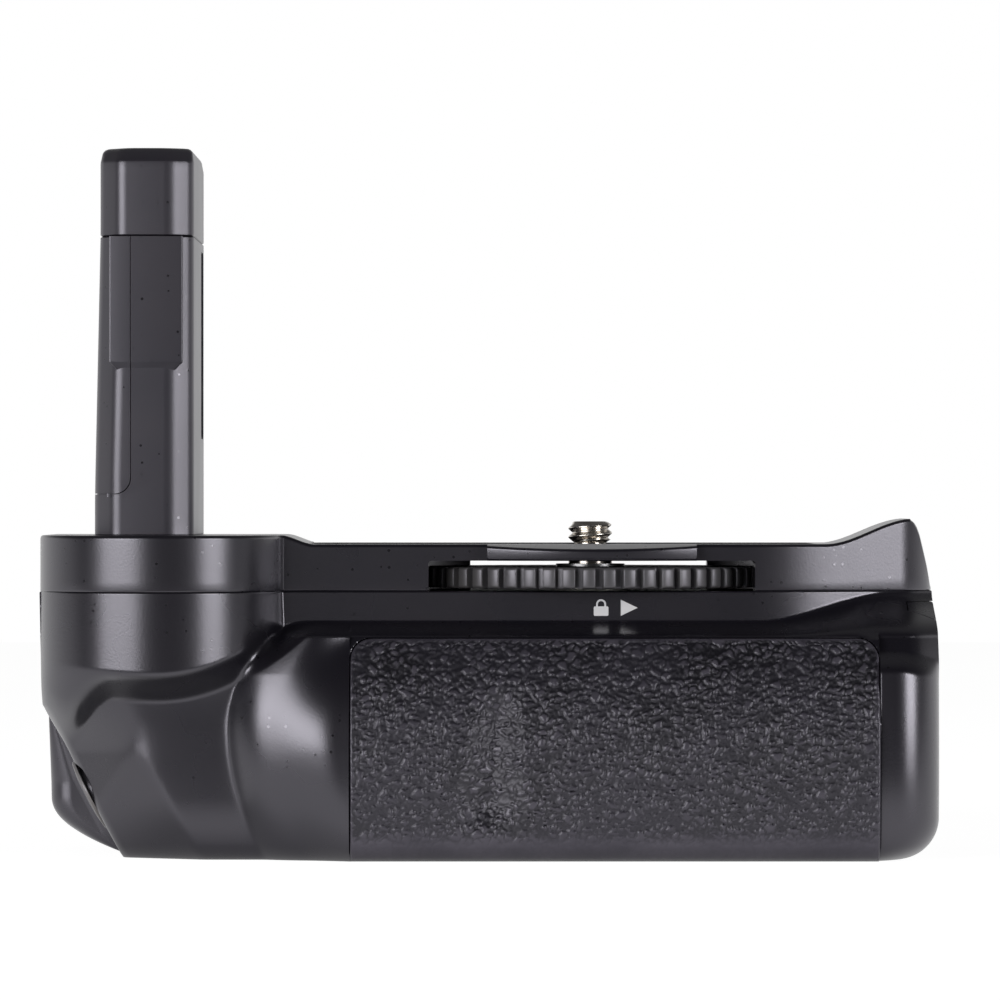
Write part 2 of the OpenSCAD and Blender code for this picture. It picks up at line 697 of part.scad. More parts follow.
module socket_plate() {
    color("silver") difference() {
        span([-socket_half.x, -socket_half.y, floor_t], [socket_half.x, socket_half.y, floor_t + 1]);
        translate([0, 0, floor_t - 1]) cylinder(h = 3, r = 5 + seat_gap);
        for (x = [-1, 1], y = [-1, 1])
            translate([x * (socket_half.x - 3), y * (socket_half.y - 3), floor_t - 1])
                cylinder(h = 3, r = m2_r + seat_gap);
    }
}

module socket_screws() {
    color("gray") for (x = [-1, 1], y = [-1, 1])
        translate([x * (socket_half.x - 3), y * (socket_half.y - 3), 0]) {
            translate([0, 0, 0.8]) cylinder(h = floor_t + 1, r = m2_r);
            translate([0, 0, floor_t + 1]) cylinder(h = 1.3, r = m2_head);
        }
}

module shutter_button() {
    color("#242228") at_notch() {
        translate([0, 0, -2.5]) cylinder(h = 2.5 + bezel_rise, r = button_r);
        translate([0, 0, -2.8]) cylinder(h = 0.7, r = button_r + 0.9);
        translate([0, 0, -3.1]) cylinder(h = 1, r = 1.5);
    }
}

module shutter_bezel() {
    color("#a9a8ab") at_notch() difference() {
        translate([0, 0, -0.8]) cylinder(h = 0.8 + bezel_rise, r = button_r + 1.2);
        translate([0, 0, -2]) cylinder(h = 4, r = button_r + run_gap + 0.04);
    }
}

module shutter_spring() {
    color("silver") at_notch() translate([0, 0, -7.8]) coil(button_r + 0.4, 0.25, 4.2, 4);
}

module shutter_switch() {
    color("#333236") at_notch() {
        span([-2.6, -2.6, -7.8], [2.6, 2.6, -5]);
        translate([0, 0, -5.1]) cylinder(h = 1.2, r = 1.2);
    }
}

module shutter_board() {
    color("darkgreen") at_notch() difference() {
        translate([0, 0, -9]) cylinder(h = 1.2, r = button_r + 1.1);
        translate([0, 2, -10]) cylinder(h = 3, r = 1);
    }
}

module power_slider() {
    g = move_gap;
    color("#2a282e") {
        span([slider_x - 4, bay_y1 - 1.4, slider_z - 2.5 + g],
            [slider_x + 4, rear_reach + 1.2, slider_z + 2.5 - g]);
        span([slider_x - 5.5, bay_y1 - 1.2, slider_z - 4], [slider_x + 5.5, bay_y1 - 0.2, slider_z + 4]);
    }
}

module power_switch() {
    color("#3a3940") difference() {
        span([slider_x - 6, bay_y1 - 6, slider_z - 3.5],
            [switch_x1, bay_y1 - 1.7, slider_z + 3.5]);
        span([slider_x - 3, bay_y1 - 4, slider_z - 1], [slider_x + 3 + slider_travel, big, slider_z + 1]);
    }
}

module remote_jack() {
    color("#151418") difference() {
        union() {
            span([jack_x - 4, bay_y1 - 10, jack_z - 4], [jack_x + 4, bay_y1, jack_z + 4]);
            translate([jack_x, rear_reach, jack_z]) rotate([90, 0, 0]) cylinder(h = 3, r = 2.8);
        }
        at_rear(jack_x, jack_z, jack_depth, jack_r);
    }
}

module battery_bay() {
    color("#2b2a2f") difference() {
        span([bay_x0, bay_y0, bay_z0], [bay_x1, bay_y1, bay_z1]);
        for (i = [0, 1]) {
            z = bay_z0 + bay_wall + i * (slot_h + bay_wall);
            span([bay_x0 + end_wall, bay_y0 + bay_side, z], [big, bay_y1 - bay_side, z + slot_h]);
            for (k = [-1:1])
                span([bay_x0 - 1, k * 6 + 1, z + 4], [bay_x0 + end_wall + 1, k * 6 + 4.4, z + 7.4]);
        }
        at_hinge(knuckle_y0 - move_gap, knuckle_y1 + move_gap, barrel_r + move_gap);
    }
}

module bay_board() {
    color("darkgreen") span([bay_board_x, bay_y0 + 3, bay_z0 + 2], [bay_x0, bay_y1 - 3, bay_z1 - 2]);
}

module bay_contacts() {
    color("gold") for (i = [0, 1], k = [-1:1]) {
        z = bay_z0 + bay_wall + i * (slot_h + bay_wall);
        span([bay_x0, k * 6 + 1.3, z + 4.3], [bay_x0 + end_wall + 1.6, k * 6 + 4.1, z + 7.1]);
    }
}

module battery_door() {
    color("#1d1b21") difference() {
        union() {
            span([door_x0, door_y0, lug_z], [right_reach, door_y1, door_z1]);
            span([door_x0, knuckle_y0, hinge_z], [right_reach, knuckle_y1, lug_z + tiny]);
            span([hinge_x, knuckle_y0, hinge_z - barrel_r + 0.4],
                [door_x0 + 1, knuckle_y1, hinge_z + barrel_r - 0.4]);
            at_hinge(knuckle_y0, knuckle_y1, barrel_r);
        }
        at_hinge(knuckle_y0 - 1, knuckle_y1 + 1, pin_r + run_gap);
        span([0, latch_y - stem_w / 2 - 0.2, spring_z0], [big, latch_y + stem_w / 2 + 0.2, stem_z1 + 0.2]);
    }
}

module hinge_pin() {
    color("silver") at_hinge(door_y0 - 3.9, door_y1 + 0.9, pin_r);
}

module door_pads() {
    color("#4a4a4e") for (y = [door_y0 + 5, door_y1 - 5], i = [0, 1])
        span([bay_x1 + 0.5, y - 3, bay_z0 + bay_wall + 3 + i * (slot_h + bay_wall)],
            [door_x0, y + 3, bay_z0 + bay_wall + 11 + i * (slot_h + bay_wall)]);
}

module door_latch() {
    color("#27252b") {
        span([right_reach + 0.05, latch_y - latch_w / 2, latch_z1 - latch_l],
            [right_reach + latch_rise, latch_y + latch_w / 2, latch_z1]);
        span([door_x0 - 0.1, latch_y - stem_w / 2, stem_z1 - stem_h],
            [right_reach + 0.1, latch_y + stem_w / 2, stem_z1]);
    }
}

module latch_bolt() {
    color("silver") span([door_x0 - 0.1 - bolt_t, latch_y - 4, stem_z1 - stem_h - 1],
        [door_x0 - 0.1, latch_y + 4, door_z1 - 0.1]);
}

module latch_spring() {
    color("silver") translate([door_x0 + door_t / 2, latch_y, spring_z0 + tiny])
        coil(0.75, 0.2, stem_z1 - stem_h - spring_z0 - 2 * tiny, 5);
}

module main_board() {
    color("darkgreen") span([board_x0, board_y0, board_z], [board_x1, board_y1, board_z + 1.2]);
}

module board_chips() {
    z = board_z + 1.2;
    color("#26262a") {
        span([board_x0 + 4, -4, z], [board_x0 + 10, 2, z + 1.4]);
        span([board_x0 + 14, -3, z], [board_x0 + 18, 3, z + 1.1]);
        span([board_x0 + 3, 6, z], [board_x0 + 12, 10, z + 3]);
    }
}

// One wire: a tube of eight sides through a list of points, mitred at its bends
function unit(v) = v / norm(v);
module wire(points, r) {
    last = len(points) - 1;
    loft([for (i = [0:last]) let (
        d = unit(unit(points[min(last, i + 1)] - points[max(0, i - 1)])),
        side = unit(cross(d, [0, 1, 0])),
        up = cross(side, d))
        [for (s = [0:7]) points[i] + r * (side * cos(s * 45) + up * sin(s * 45))]]);
}

module wire_harness() {
    z = board_z + 1.3;
    tail = [-post_offset - 1, -2, foot_z + 10];
    color("firebrick") {
        for (y = [0, 3]) {
            wire([[board_x0 + 2, 4 - 2 * y, z], [board_x0 + 1.5, 4 - 2 * y, 18],
                [board_x0 - 3, 3 - 1.5 * y, 30], [-post_offset + 1, -2 - y, parting_z - 1],
                [-post_offset - 1, -2 - y, parting_z + 4], tail - [0, y, 0]], 0.6);
            wire([[board_x1 - 2, 4 - 2 * y, z], [board_x1 - 1.8, 4 - 2 * y, 13], [board_x1, 4 - 2 * y, 16.5],
                [bay_board_x - 0.1, 4 - 2 * y, 17]], 0.6);
        }
    }
}

module case_screws() {
    color("gray") for (p = case_posts) translate([p.x, p.y, 2]) {
        cylinder(h = 1.6, r = m2_head);
        cylinder(h = parting_z + 1.5, r = m2_r);
    }
}

lower_shell();
upper_shell();
front_grip_skin();
rear_grip_skin();
top_pad();
post_shell();
post_cover();
post_cap();
post_board();
post_contacts();
post_screws();
locking_wheel();
mount_screw();
screw_clip();
wheel_washer();
wheel_plate();
wheel_plate_screws();
tripod_socket();
socket_plate();
socket_screws();
shutter_button();
shutter_bezel();
shutter_spring();
shutter_switch();
shutter_board();
power_slider();
power_switch();
remote_jack();
battery_bay();
bay_board();
bay_contacts();
battery_door();
hinge_pin();
door_pads();
door_latch();
latch_bolt();
latch_spring();
main_board();
board_chips();
wire_harness();
case_screws();
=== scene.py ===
# %% [markdown]
# A camera battery grip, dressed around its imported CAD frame. The frame says where each piece is
# and how it moves, so this lesson only makes surfaces: every visible piece is a finer mesh, or the
# CAD mesh itself, with a finish built from nodes. Lengths in this file are millimetres until a
# mesh is made, because the grip was measured in millimetres.

# %% The frame
import math

import bmesh
import bpy
import numpy as np
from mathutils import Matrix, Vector, noise


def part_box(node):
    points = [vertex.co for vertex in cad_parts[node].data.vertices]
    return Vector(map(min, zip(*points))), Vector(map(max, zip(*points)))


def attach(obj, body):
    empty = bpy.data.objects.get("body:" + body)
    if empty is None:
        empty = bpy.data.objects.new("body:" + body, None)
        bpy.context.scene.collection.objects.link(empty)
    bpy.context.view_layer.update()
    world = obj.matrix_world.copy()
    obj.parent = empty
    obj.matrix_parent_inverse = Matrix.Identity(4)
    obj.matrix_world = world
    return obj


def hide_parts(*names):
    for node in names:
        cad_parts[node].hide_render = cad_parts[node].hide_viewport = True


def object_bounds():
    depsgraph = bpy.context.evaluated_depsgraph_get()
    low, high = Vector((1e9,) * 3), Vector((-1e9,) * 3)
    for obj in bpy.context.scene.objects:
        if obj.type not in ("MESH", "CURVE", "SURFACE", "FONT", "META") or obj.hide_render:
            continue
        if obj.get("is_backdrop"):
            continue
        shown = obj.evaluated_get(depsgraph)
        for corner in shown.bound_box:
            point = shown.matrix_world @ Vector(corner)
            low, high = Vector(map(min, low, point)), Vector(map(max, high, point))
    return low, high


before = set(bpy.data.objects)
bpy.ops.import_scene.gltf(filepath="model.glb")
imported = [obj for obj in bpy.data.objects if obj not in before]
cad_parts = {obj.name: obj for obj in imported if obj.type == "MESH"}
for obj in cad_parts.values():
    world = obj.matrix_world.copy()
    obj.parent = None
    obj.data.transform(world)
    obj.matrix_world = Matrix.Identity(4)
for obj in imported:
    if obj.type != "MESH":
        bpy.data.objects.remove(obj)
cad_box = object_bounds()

MM = 0.001
MICRON = MM * MM


def box_mm(node):
    """Lowest and highest corner of a CAD node at rest, in millimetres."""
    low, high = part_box(node)
    return np.array(low) / MM, np.array(high) / MM


# %% [markdown]
# The driving sizes come from the frame. The lower housing gives the ends, the parting line and the
# rear face; the skin gives the crown; the pad gives the deck. Where the CAD part is resized, the main
# lines of this file follow.

# %% Driving sizes
shell_low, shell_high = box_mm("lower_shell")
upper_high = box_mm("upper_shell")[1]
skin_low, skin_high = box_mm("front_grip_skin")
rear_low, rear_high = box_mm("rear_grip_skin")
post_low, post_high = box_mm("post_shell")
cover_low, cover_high = box_mm("post_cover")
cap_low, cap_high = box_mm("post_cap")
bay_low, bay_high = box_mm("battery_bay")
door_low, door_high = box_mm("battery_door")
wheel_low, wheel_high = box_mm("locking_wheel")
screw_low, screw_high = box_mm("mount_screw")
pad_low, pad_high = box_mm("top_pad")

LEFT, RIGHT, REAR = -shell_low[0], shell_high[0], shell_high[1]
PARTING, DECK = shell_high[2], pad_high[2]
PLINTH = post_low[2]
DECK_T, WALL, LIP, SEAT_GAP = 2.35, 1.7, 0.3, 0.1
CEILING = DECK - DECK_T
FACE = WALL + SEAT_GAP - bay_low[1]
CROWN = -skin_low[1]
SKIN_X0, SKIN_X1 = skin_low[0] - SEAT_GAP, skin_high[0] + SEAT_GAP
SKIN_TOP = skin_high[2] + SEAT_GAP
SKIN_T = rear_high[1] - rear_low[1]
GRIP_R, GRIP_LEAD = 17.1, 17.0
GRIP_X = GRIP_R - LEFT
print(f"ends {-LEFT:.1f} to {RIGHT:.1f}, parting {PARTING:.1f}, deck {DECK:.1f}, crown {CROWN:.1f} mm")

# %% [markdown]
# Shader maths reads better as sums. The class below holds one number on its way through a shader:
# adding, subtracting or multiplying two of them adds the Math node for it. Every other node comes
# from one method, which sets the node's own settings first and then fills its sockets.

# %% Finishes as sums


class Dial:
    """One shader socket that takes part in Python sums."""

    def __init__(self, finish, socket):
        self.finish = finish
        self.socket = socket

    def combine(self, operation, a, b):
        return self.finish.add("ShaderNodeMath", {"operation": operation}, {0: a, 1: b})

    def __add__(self, other):
        return self.combine("ADD", self, other)

    def __radd__(self, other):
        return self.combine("ADD", other, self)

    def __sub__(self, other):
        return self.combine("SUBTRACT", self, other)

    def __rsub__(self, other):
        return self.combine("SUBTRACT", other, self)

    def __mul__(self, other):
        return self.combine("MULTIPLY", self, other)

    def __rmul__(self, other):
        return self.combine("MULTIPLY", other, self)


class Finish:
    """A node tree under construction, with one method that adds any node."""

    def __init__(self, tree):
        self.tree = tree
        self.tree.nodes.clear()

    def add(self, kind, settings=None, sockets=None, out=0):
        node = self.tree.nodes.new(kind)
        for key, value in (settings or {}).items():
            setattr(node, key, value)
        for key, value in (sockets or {}).items():
            self.feed(node.inputs[key], value)
        return Dial(self, node.outputs[out]) if node.outputs else None

    def feed(self, socket, value):
        if isinstance(value, Dial):
            self.tree.links.new(value.socket, socket)
        elif socket.type == "RGBA" and len(value) == 3:
            socket.default_value = (*value, 1)
        else:
            socket.default_value = value

    def spread(self, size_mm, detail=2.0, stretch=(1, 1, 1)):
        """Noise with features of about that size, fixed to the piece."""
        place = self.add("ShaderNodeTexCoord", out="Object")
        place = self.add("ShaderNodeMapping", None, {"Vector": place, "Scale": stretch})
        return self.add("ShaderNodeTexNoise", None,
                        {"Vector": place, "Scale": 1 / (size_mm * MM), "Detail": detail})

    def ramp(self, value, low, high, start=0.0, end=1.0):
        """Value mapped smoothly from low..high to start..end."""
        return self.add("ShaderNodeMapRange", {"interpolation_type": "SMOOTHSTEP"},
                        {"Value": value, "From Min": low, "From Max": high,
                         "To Min": start, "To Max": end})

    def blend(self, factor, a, b):
        """Colour a where factor is 0, and b where it is 1."""
        return self.add("ShaderNodeMix", {"data_type": "RGBA"}, {"Factor": factor, 6: a, 7: b}, out=2)

    def vary(self, shader, colour, rough, height, microns, strength=1.0):
        """Feeds colour and roughness, and lets a height of that many microns tilt the normals."""
        tilt = self.add("ShaderNodeBump", None,
                        {"Height": height, "Strength": strength, "Distance": microns * MICRON})
        for key, value in (("Base Color", colour), ("Roughness", rough), ("Normal", tilt)):
            self.feed(shader.inputs[key], value)


def finish(name, colour, rough, metal=0.0, level=0.5):
    """A new material, its tree and its Principled shader."""
    material = bpy.data.materials.new(name)
    material.use_nodes = True
    tree = Finish(material.node_tree)
    shader = tree.add("ShaderNodeBsdfPrincipled", None,
                      {"Base Color": colour, "Roughness": rough, "Metallic": metal,
                       "Specular IOR Level": level})
    tree.add("ShaderNodeOutputMaterial", None, {"Surface": shader})
    return material, tree, shader.socket.node


print("finish helpers ready")

# %% [markdown]
# Moulded black plastic is the main finish. The mould is spark-eroded, so the skin of the part is a
# fine satin grain: the gloss breaks up, and small specks, glossier than the rest, sparkle or stay
# dark. It could be one dark colour with a gloss value, but then the broad highlights would look like
# paint, so the grain goes into the normals, the specks into the colour and a cloud into the roughness.

# %% Moulded plastic
COOL_GLOSS = (0.93, 0.90, 1.0, 1.0)
SPECK_MM, SPECK_GLOSS = 1.3, 0.15


def moulded(name, colour, rough, grain_mm=0.30, grain_um=8.0, specks=0.8, level=1.0):
    material, f, shader = finish(name, colour, rough, level=level)
    shader.inputs["Specular Tint"].default_value = COOL_GLOSS
    grain = f.spread(grain_mm, 2.0)
    cloud = f.spread(14.0, 2.0)
    place = f.add("ShaderNodeTexCoord", out="Object")
    cells = f.add("ShaderNodeTexVoronoi", None,
                  {"Vector": place, "Scale": 1 / (SPECK_MM * MM)}, out="Distance")
    lot = f.add("ShaderNodeSeparateColor", None, {0: Dial(f, cells.socket.node.outputs["Color"])})
    cluster = f.ramp(f.spread(11.0, 1.0), 0.42, 0.58)
    speck = f.ramp(cells, 0.12, 0.19, 1.0, 0.0) * f.ramp(lot, 0.55, 0.6) * cluster
    dark = tuple(0.25 * c for c in colour)
    warm = tuple(c * k for c, k in zip(colour, (1.15, 1.1, 1.05)))
    shade = f.blend(f.ramp(cloud, 0.3, 0.7), colour, warm)
    f.vary(shader, f.blend(speck * specks, shade, dark),
           rough - 0.03 + 0.06 * cloud - (SPECK_GLOSS * specks) * speck, grain, grain_um)
    return material


SATIN_BLACK = (0.0072, 0.0066, 0.0098)
housing_plastic = moulded("housing_plastic", SATIN_BLACK, 0.275)
lid_plastic = moulded("lid_plastic", (0.0090, 0.0084, 0.0118), 0.285)
post_plastic = moulded("post_plastic", (0.020, 0.0188, 0.0250), 0.37, 0.3, 4.0, 1.0)
wheel_plastic = moulded("wheel_plastic", (0.060, 0.059, 0.062), 0.40, 0.3, 6.0, 0.3)
latch_plastic = moulded("latch_plastic", (0.020, 0.019, 0.024), 0.36, 0.4, 6.0, 0.4)
inner_plastic = moulded("inner_plastic", (0.030, 0.030, 0.034), 0.45, 0.6, 8.0, 0.2, 0.5)
bezel_plastic = moulded("bezel_plastic", (0.20, 0.195, 0.20), 0.34, 0.4, 4.0, 0.1, 0.5)
print("plastics:", len(bpy.data.materials))

# %% [markdown]
# Rubber, metal and the pieces inside each get their own short recipe. Rubber is rough and drinks
# light, so its grain is deeper and its gloss lower. Turned metal keeps fine rings from the lathe:
# noise that is squeezed along the axis gives them. The circuit boards get copper lines under a
# green coat, drawn by a brick pattern that is only a few tenths of a millimetre wide.

# %% Rubber, leatherette, metals and boards
BRICKS, MORTAR = 420.0, 0.06


def rubbery(name, colour, rough, grain_mm, grain_um):
    material, f, shader = finish(name, colour, rough, level=0.35)
    grain = f.spread(grain_mm, 4.0)
    dust = f.ramp(f.spread(6.0, 3.0), 0.45, 0.75)
    pale = tuple(min(1.0, 1.35 * c + 0.004) for c in colour)
    f.vary(shader, f.blend(dust, colour, pale),
           rough - 0.05 + 0.1 * grain, grain, grain_um)
    return material


def leatherette(name):
    """Grained skin: the grooves of the real mesh, kept in the attribute grain, get painted shade in their
    colour and stay dull.
    """
    colour = (0.058, 0.053, 0.067)
    material, f, shader = finish(name, colour, 0.40, level=0.65)
    shader.inputs["Specular Tint"].default_value = COOL_GLOSS
    height = f.add("ShaderNodeAttribute", {"attribute_name": "grain"}, None, out="Fac")
    fine = f.spread(0.22, 3.0)
    cloud = f.spread(9.0, 2.0)
    # painted shade: the colour falls to near black down in the creases, where shade would gather
    groove = f.blend(f.ramp(height, 0.4, 0.95), (0.0030, 0.0027, 0.0045), colour)
    patch = f.ramp(cloud, 0.35, 0.68, 0.0, 0.5)
    f.vary(shader, f.blend(patch, groove, (0.016, 0.0145, 0.021)),
           0.44 - 0.10 * f.ramp(height, 0.3, 1.0) + 0.04 * cloud, fine, 9.0)
    return material


def metal(name, colour, rough, rings_mm=0.12, axis=2, tarnish=0.35):
    material, f, shader = finish(name, colour, rough, metal=1.0)
    stretch = [0.04, 0.04, 0.04]
    stretch[axis] = 1.0
    rings = f.spread(rings_mm, 3.0, tuple(stretch))
    stain = f.ramp(f.spread(2.5, 4.0), 0.45, 0.8)
    dull = tuple(0.55 * c for c in colour)
    f.vary(shader, f.blend(stain * tarnish, colour, dull),
           rough - 0.05 + 0.1 * rings + 0.18 * stain, rings, 4.0, 0.6)
    return material


def board(name):
    material, f, shader = finish(name, (0.015, 0.075, 0.03), 0.32)
    place = f.add("ShaderNodeTexCoord", out="Object")
    lines = f.add("ShaderNodeTexBrick", {"offset": 0.5},
                  {"Vector": place, "Scale": BRICKS, "Mortar Size": MORTAR, "Mortar Smooth": 0.2,
                   "Color1": (0.012, 0.07, 0.028), "Color2": (0.016, 0.085, 0.034),
                   "Mortar": (0.03, 0.15, 0.06)})
    copper = f.add("ShaderNodeTexBrick", {"offset": 0.5},
                   {"Vector": place, "Scale": BRICKS, "Mortar Size": MORTAR}, out="Fac")
    f.vary(shader, lines,
           0.28 + 0.1 * f.spread(3.0), copper, 20.0)
    return material


skin_finish = leatherette("leatherette")
pad_rubber = rubbery("pad_rubber", (0.022, 0.022, 0.024), 0.72, 0.3, 16.0)
foam = rubbery("foam", (0.055, 0.055, 0.06), 0.9, 0.5, 90.0)
nylon = rubbery("nylon", (0.62, 0.61, 0.58), 0.45, 0.5, 5.0)
wire_jacket = rubbery("wire_jacket", (0.30, 0.02, 0.018), 0.42, 0.4, 6.0)
nickel = metal("nickel", (0.66, 0.62, 0.57), 0.20)
brass = metal("brass", (0.72, 0.52, 0.24), 0.26)
gilt = metal("gilt", (0.88, 0.66, 0.30), 0.22, 0.3, 0)
steel = metal("steel", (0.56, 0.56, 0.57), 0.30, 0.2, 1)
screw_steel = metal("screw_steel", (0.16, 0.16, 0.17), 0.36)
circuit_board = board("circuit_board")
print("finishes:", len(bpy.data.materials))

# %% [markdown]
# A piece is a list of points and faces, mostly a loft through a stack of loops. The helpers below
# turn it into an object, merge points that fall together, turn the normals outward, shade it smooth
# except at real edges, give it its finish and tie it to its body and the CAD nodes that it stands
# for. Solids are cut with the Boolean modifier; its Manifold solver is exact and quick on closed meshes.

# %% Making, cutting and tying pieces


def mesh_from(name, points, faces):
    mesh = bpy.data.meshes.new(name)
    mesh.from_pydata((np.asarray(points, dtype=float) * MM).tolist(), [], [list(f) for f in faces])
    return mesh


def placed(name, mesh, merge=True):
    """Object for a mesh, with doubled points merged and the normals turned outward."""
    tidy = bmesh.new()
    tidy.from_mesh(mesh)
    if merge:
        bmesh.ops.remove_doubles(tidy, verts=tidy.verts, dist=1e-7)
        bmesh.ops.dissolve_degenerate(tidy, edges=tidy.edges, dist=1e-8)
    bmesh.ops.recalc_face_normals(tidy, faces=tidy.faces)
    tidy.to_mesh(mesh)
    tidy.free()
    made = bpy.data.objects.new(name, mesh)
    bpy.context.scene.collection.objects.link(made)
    return made


def lofted(name, loops, ring=False):
    """Closed solid through a stack of loops, capped at both ends or joined into a ring."""
    loops = np.asarray(loops, dtype=float)
    m, n, _ = loops.shape
    k = np.arange(n)
    after = (k + 1) % n
    faces = []
    for j in range(m if ring else m - 1):
        a, b = j * n, (j + 1) % m * n
        faces += np.stack([a + k, a + after, b + after, b + k], 1).tolist()
    if not ring:
        faces += [k[::-1].tolist(), ((m - 1) * n + k).tolist()]
    return placed(name, mesh_from(name, loops.reshape(-1, 3), faces))


def at_height(flat, z):
    return np.column_stack([flat, np.full(len(flat), z)])


def at_station(x, section):
    return np.column_stack([np.full(len(section), x), section])


def carve(solid, other, operation="DIFFERENCE"):
    """Applies one Boolean to solid and throws the other object away."""
    step = solid.modifiers.new("carve", "BOOLEAN")
    step.object = other
    step.operation = operation
    step.solver = "MANIFOLD"
    graph = bpy.context.evaluated_depsgraph_get()
    result = bpy.data.meshes.new_from_object(solid.evaluated_get(graph))
    solid.modifiers.clear()
    old = solid.data
    solid.data = result
    bpy.data.meshes.remove(old)
    bpy.data.objects.remove(other)
    return solid


def tie(piece, body, material, nodes=(), crease=32.0):
    """Shades a piece, gives it its finish and ties it to the frame."""
    piece.data.materials.clear()
    piece.data.materials.append(material)
    piece.data.shade_smooth()
    piece.data.set_sharp_from_angle(angle=math.radians(crease))
    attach(piece, body)
    if nodes:
        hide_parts(*nodes)
    print(f"{piece.name}: {len(piece.data.polygons)} faces on {body}")
    return piece


def block(low, high, name="block"):
    """A plain box between two corners."""
    (x0, y0, z0), (x1, y1, z1) = low, high
    ring = [(x0, y0), (x1, y0), (x1, y1), (x0, y1)]
    return lofted(name, [[(x, y, z) for x, y in ring] for z in (z0, z1)])


def turned(profile, place, axis, name, steps=64):
    """Solid of revolution: profile is (height, radius) along axis from place."""
    across = Vector(axis).normalized().orthogonal().normalized()
    up = Vector(axis).normalized()
    side = up.cross(across)
    angles = np.linspace(0, 2 * math.pi, steps, endpoint=False)
    spokes = [math.cos(a) * np.array(across) + math.sin(a) * np.array(side) for a in angles]
    return lofted(name, [[np.array(place) + h * np.array(up) + r * spoke for spoke in spokes]
                         for h, r in profile])


print("mesh helpers ready")

# %% [markdown]
# The lower housing is one flowing form: the D of the hand grip at the left, a finger groove with a
# folded facet below it, a crown across the middle and a rounded pillar at the right. It could be
# sculpted, but the CAD part already writes it as a formula, the reach of the front ahead of the
# screw axis at each x and z. The same formula is sampled here about ten times finer, with the
# creases rounded, so highlights run along the edges as they do on the real moulding.

# %% The form of the front
EDGE_R = 2.4  # roll of the edge around the base
CROWN_Z, CROWN_FALL, TUCK = 15.0, 5.7, 2.4  # fullest line of the crown, and its fall above and below
FOLD_X, FOLD_Z, FOLD_DIR, FOLD = GRIP_X - 2.2, 15.6, math.radians(60.2), 0.62
GROOVE, FLANK, FLANK_X = 26.5, 1.05, GRIP_X - 3.1
RIDGE_X, RIDGE_Z, RISE, CREST_BACK = GRIP_X + 10, 19, 17, 1.6  # where the rise to the crown begins
SLANT_X, SLANT, SLANT_SOFT = 27.0, math.tan(math.radians(24)), 7.0
PILLAR_R, PILLAR_ROUND, PILLAR_BACK, FACET = 7.0, 8.0, 1.3, 1.3
LEFT_TAPER, LEFT_CURL, CURL_Z = 0.6, 11, 8.2
DENT_X, DENT_Z, DENT_DEEP = -14.7, 9.8, 2.3
LEDGE_FALL, UNDER = 4.1, 11.8  # below the parting line: the ledge's low side, the D's underside
SKIN_R = 3.0


def ease(a, b, t):
    u = np.clip((t - a) / (b - a), 0, 1)
    return u * u * (3 - 2 * u)


def mix(a, b, u):
    return a + (b - a) * u


def drop(r, d):
    """Inset of a rounded edge of radius r at a distance d from the edge."""
    d = np.clip(d, 0, None)
    return np.where(d >= r, 0.0, r - np.sqrt(np.maximum(0.0, r * r - np.square(r - np.minimum(d, r)))))


def quarter(n):
    """Angles of a quarter turn."""
    return np.linspace(0, math.pi / 2, n)


def past(d, soft):
    """d where it is above zero and 0 below, with a soft knee between."""
    return 0.5 * (d + np.sqrt(d * d + soft))


def tuck(z):
    """How far the front draws in towards the base."""
    return TUCK * np.power(np.maximum(0, 1 - z / CROWN_Z), 2.5) + drop(EDGE_R, z)


def left_x(z):
    taper = LEFT_TAPER * (1 - np.clip((z - CURL_Z) / (PARTING - CURL_Z), 0, 1))
    return -LEFT + taper + LEFT_CURL * np.power(np.maximum(0, 1 - z / CURL_Z), 2.2)


def right_x(z):
    return RIGHT - drop(6.0, z)


def rear_y(z):
    return REAR - drop(EDGE_R, z)


def slant(x):
    """How far the face turns back towards the right end."""
    s = x - SLANT_X
    start = math.hypot(SLANT_X, SLANT_SOFT) - SLANT_X
    return SLANT * 0.5 * np.maximum(0, s + np.sqrt(s * s + SLANT_SOFT ** 2) - start)


def crown(z):
    top = CROWN_FALL * np.square(np.maximum(0, (z - CROWN_Z) / (SKIN_TOP - CROWN_Z)))
    return CROWN - top - tuck(z)


def dent(x, z):
    """Thumb mark in the skin: a soft valley that widens downward."""
    line = DENT_X + 0.084 * (z - 8.3)
    half = np.where(x < line, 5.2 - 0.22 * (z - DENT_Z), 4.8 - 0.10 * (z - DENT_Z))
    side = 1 - np.sqrt(np.square((x - line) / np.maximum(half, 1.2)) + 0.015)
    return DENT_DEEP * ease(25.0, 19.5, z) * ease(3.5, 9.0, z) * past(side, 0.006)


def ledge(x, z):
    line = PARTING - LEDGE_FALL * (1 - ease(RIGHT - 25, RIGHT - 6, x))
    return ease(SKIN_TOP, line, z)


def face(x):
    return FACE + LIP - slant(x)


def middle(x, z):
    """Crown of the grip, with the ledge above it."""
    return mix(crown(np.minimum(z, SKIN_TOP)), face(x), ledge(x, z)) - dent(x, z)


def pillar(x, z):
    """Rounded column at the right end; above it the ledge runs on to a steep corner facet."""
    u = np.clip((x - right_x(z) + PILLAR_R) / PILLAR_R, 0, 1)
    lean = 0.8 * np.square(np.maximum(0, (z - CROWN_Z) / 13))
    column = CROWN - PILLAR_BACK - tuck(z) - lean - PILLAR_ROUND * (1 - np.sqrt(1 - u * u))
    facet = FACET * past(x - RIGHT + 3.6, 0.8)
    up = ledge(x, z)
    panel = mix(crown(np.minimum(z, SKIN_TOP)) - PILLAR_BACK, face(x), up) - facet * (1 - 0.3 * up)
    return mix(column, panel, ease(26.6, 29.9, z + 0.25 * np.maximum(0, x - 44)))


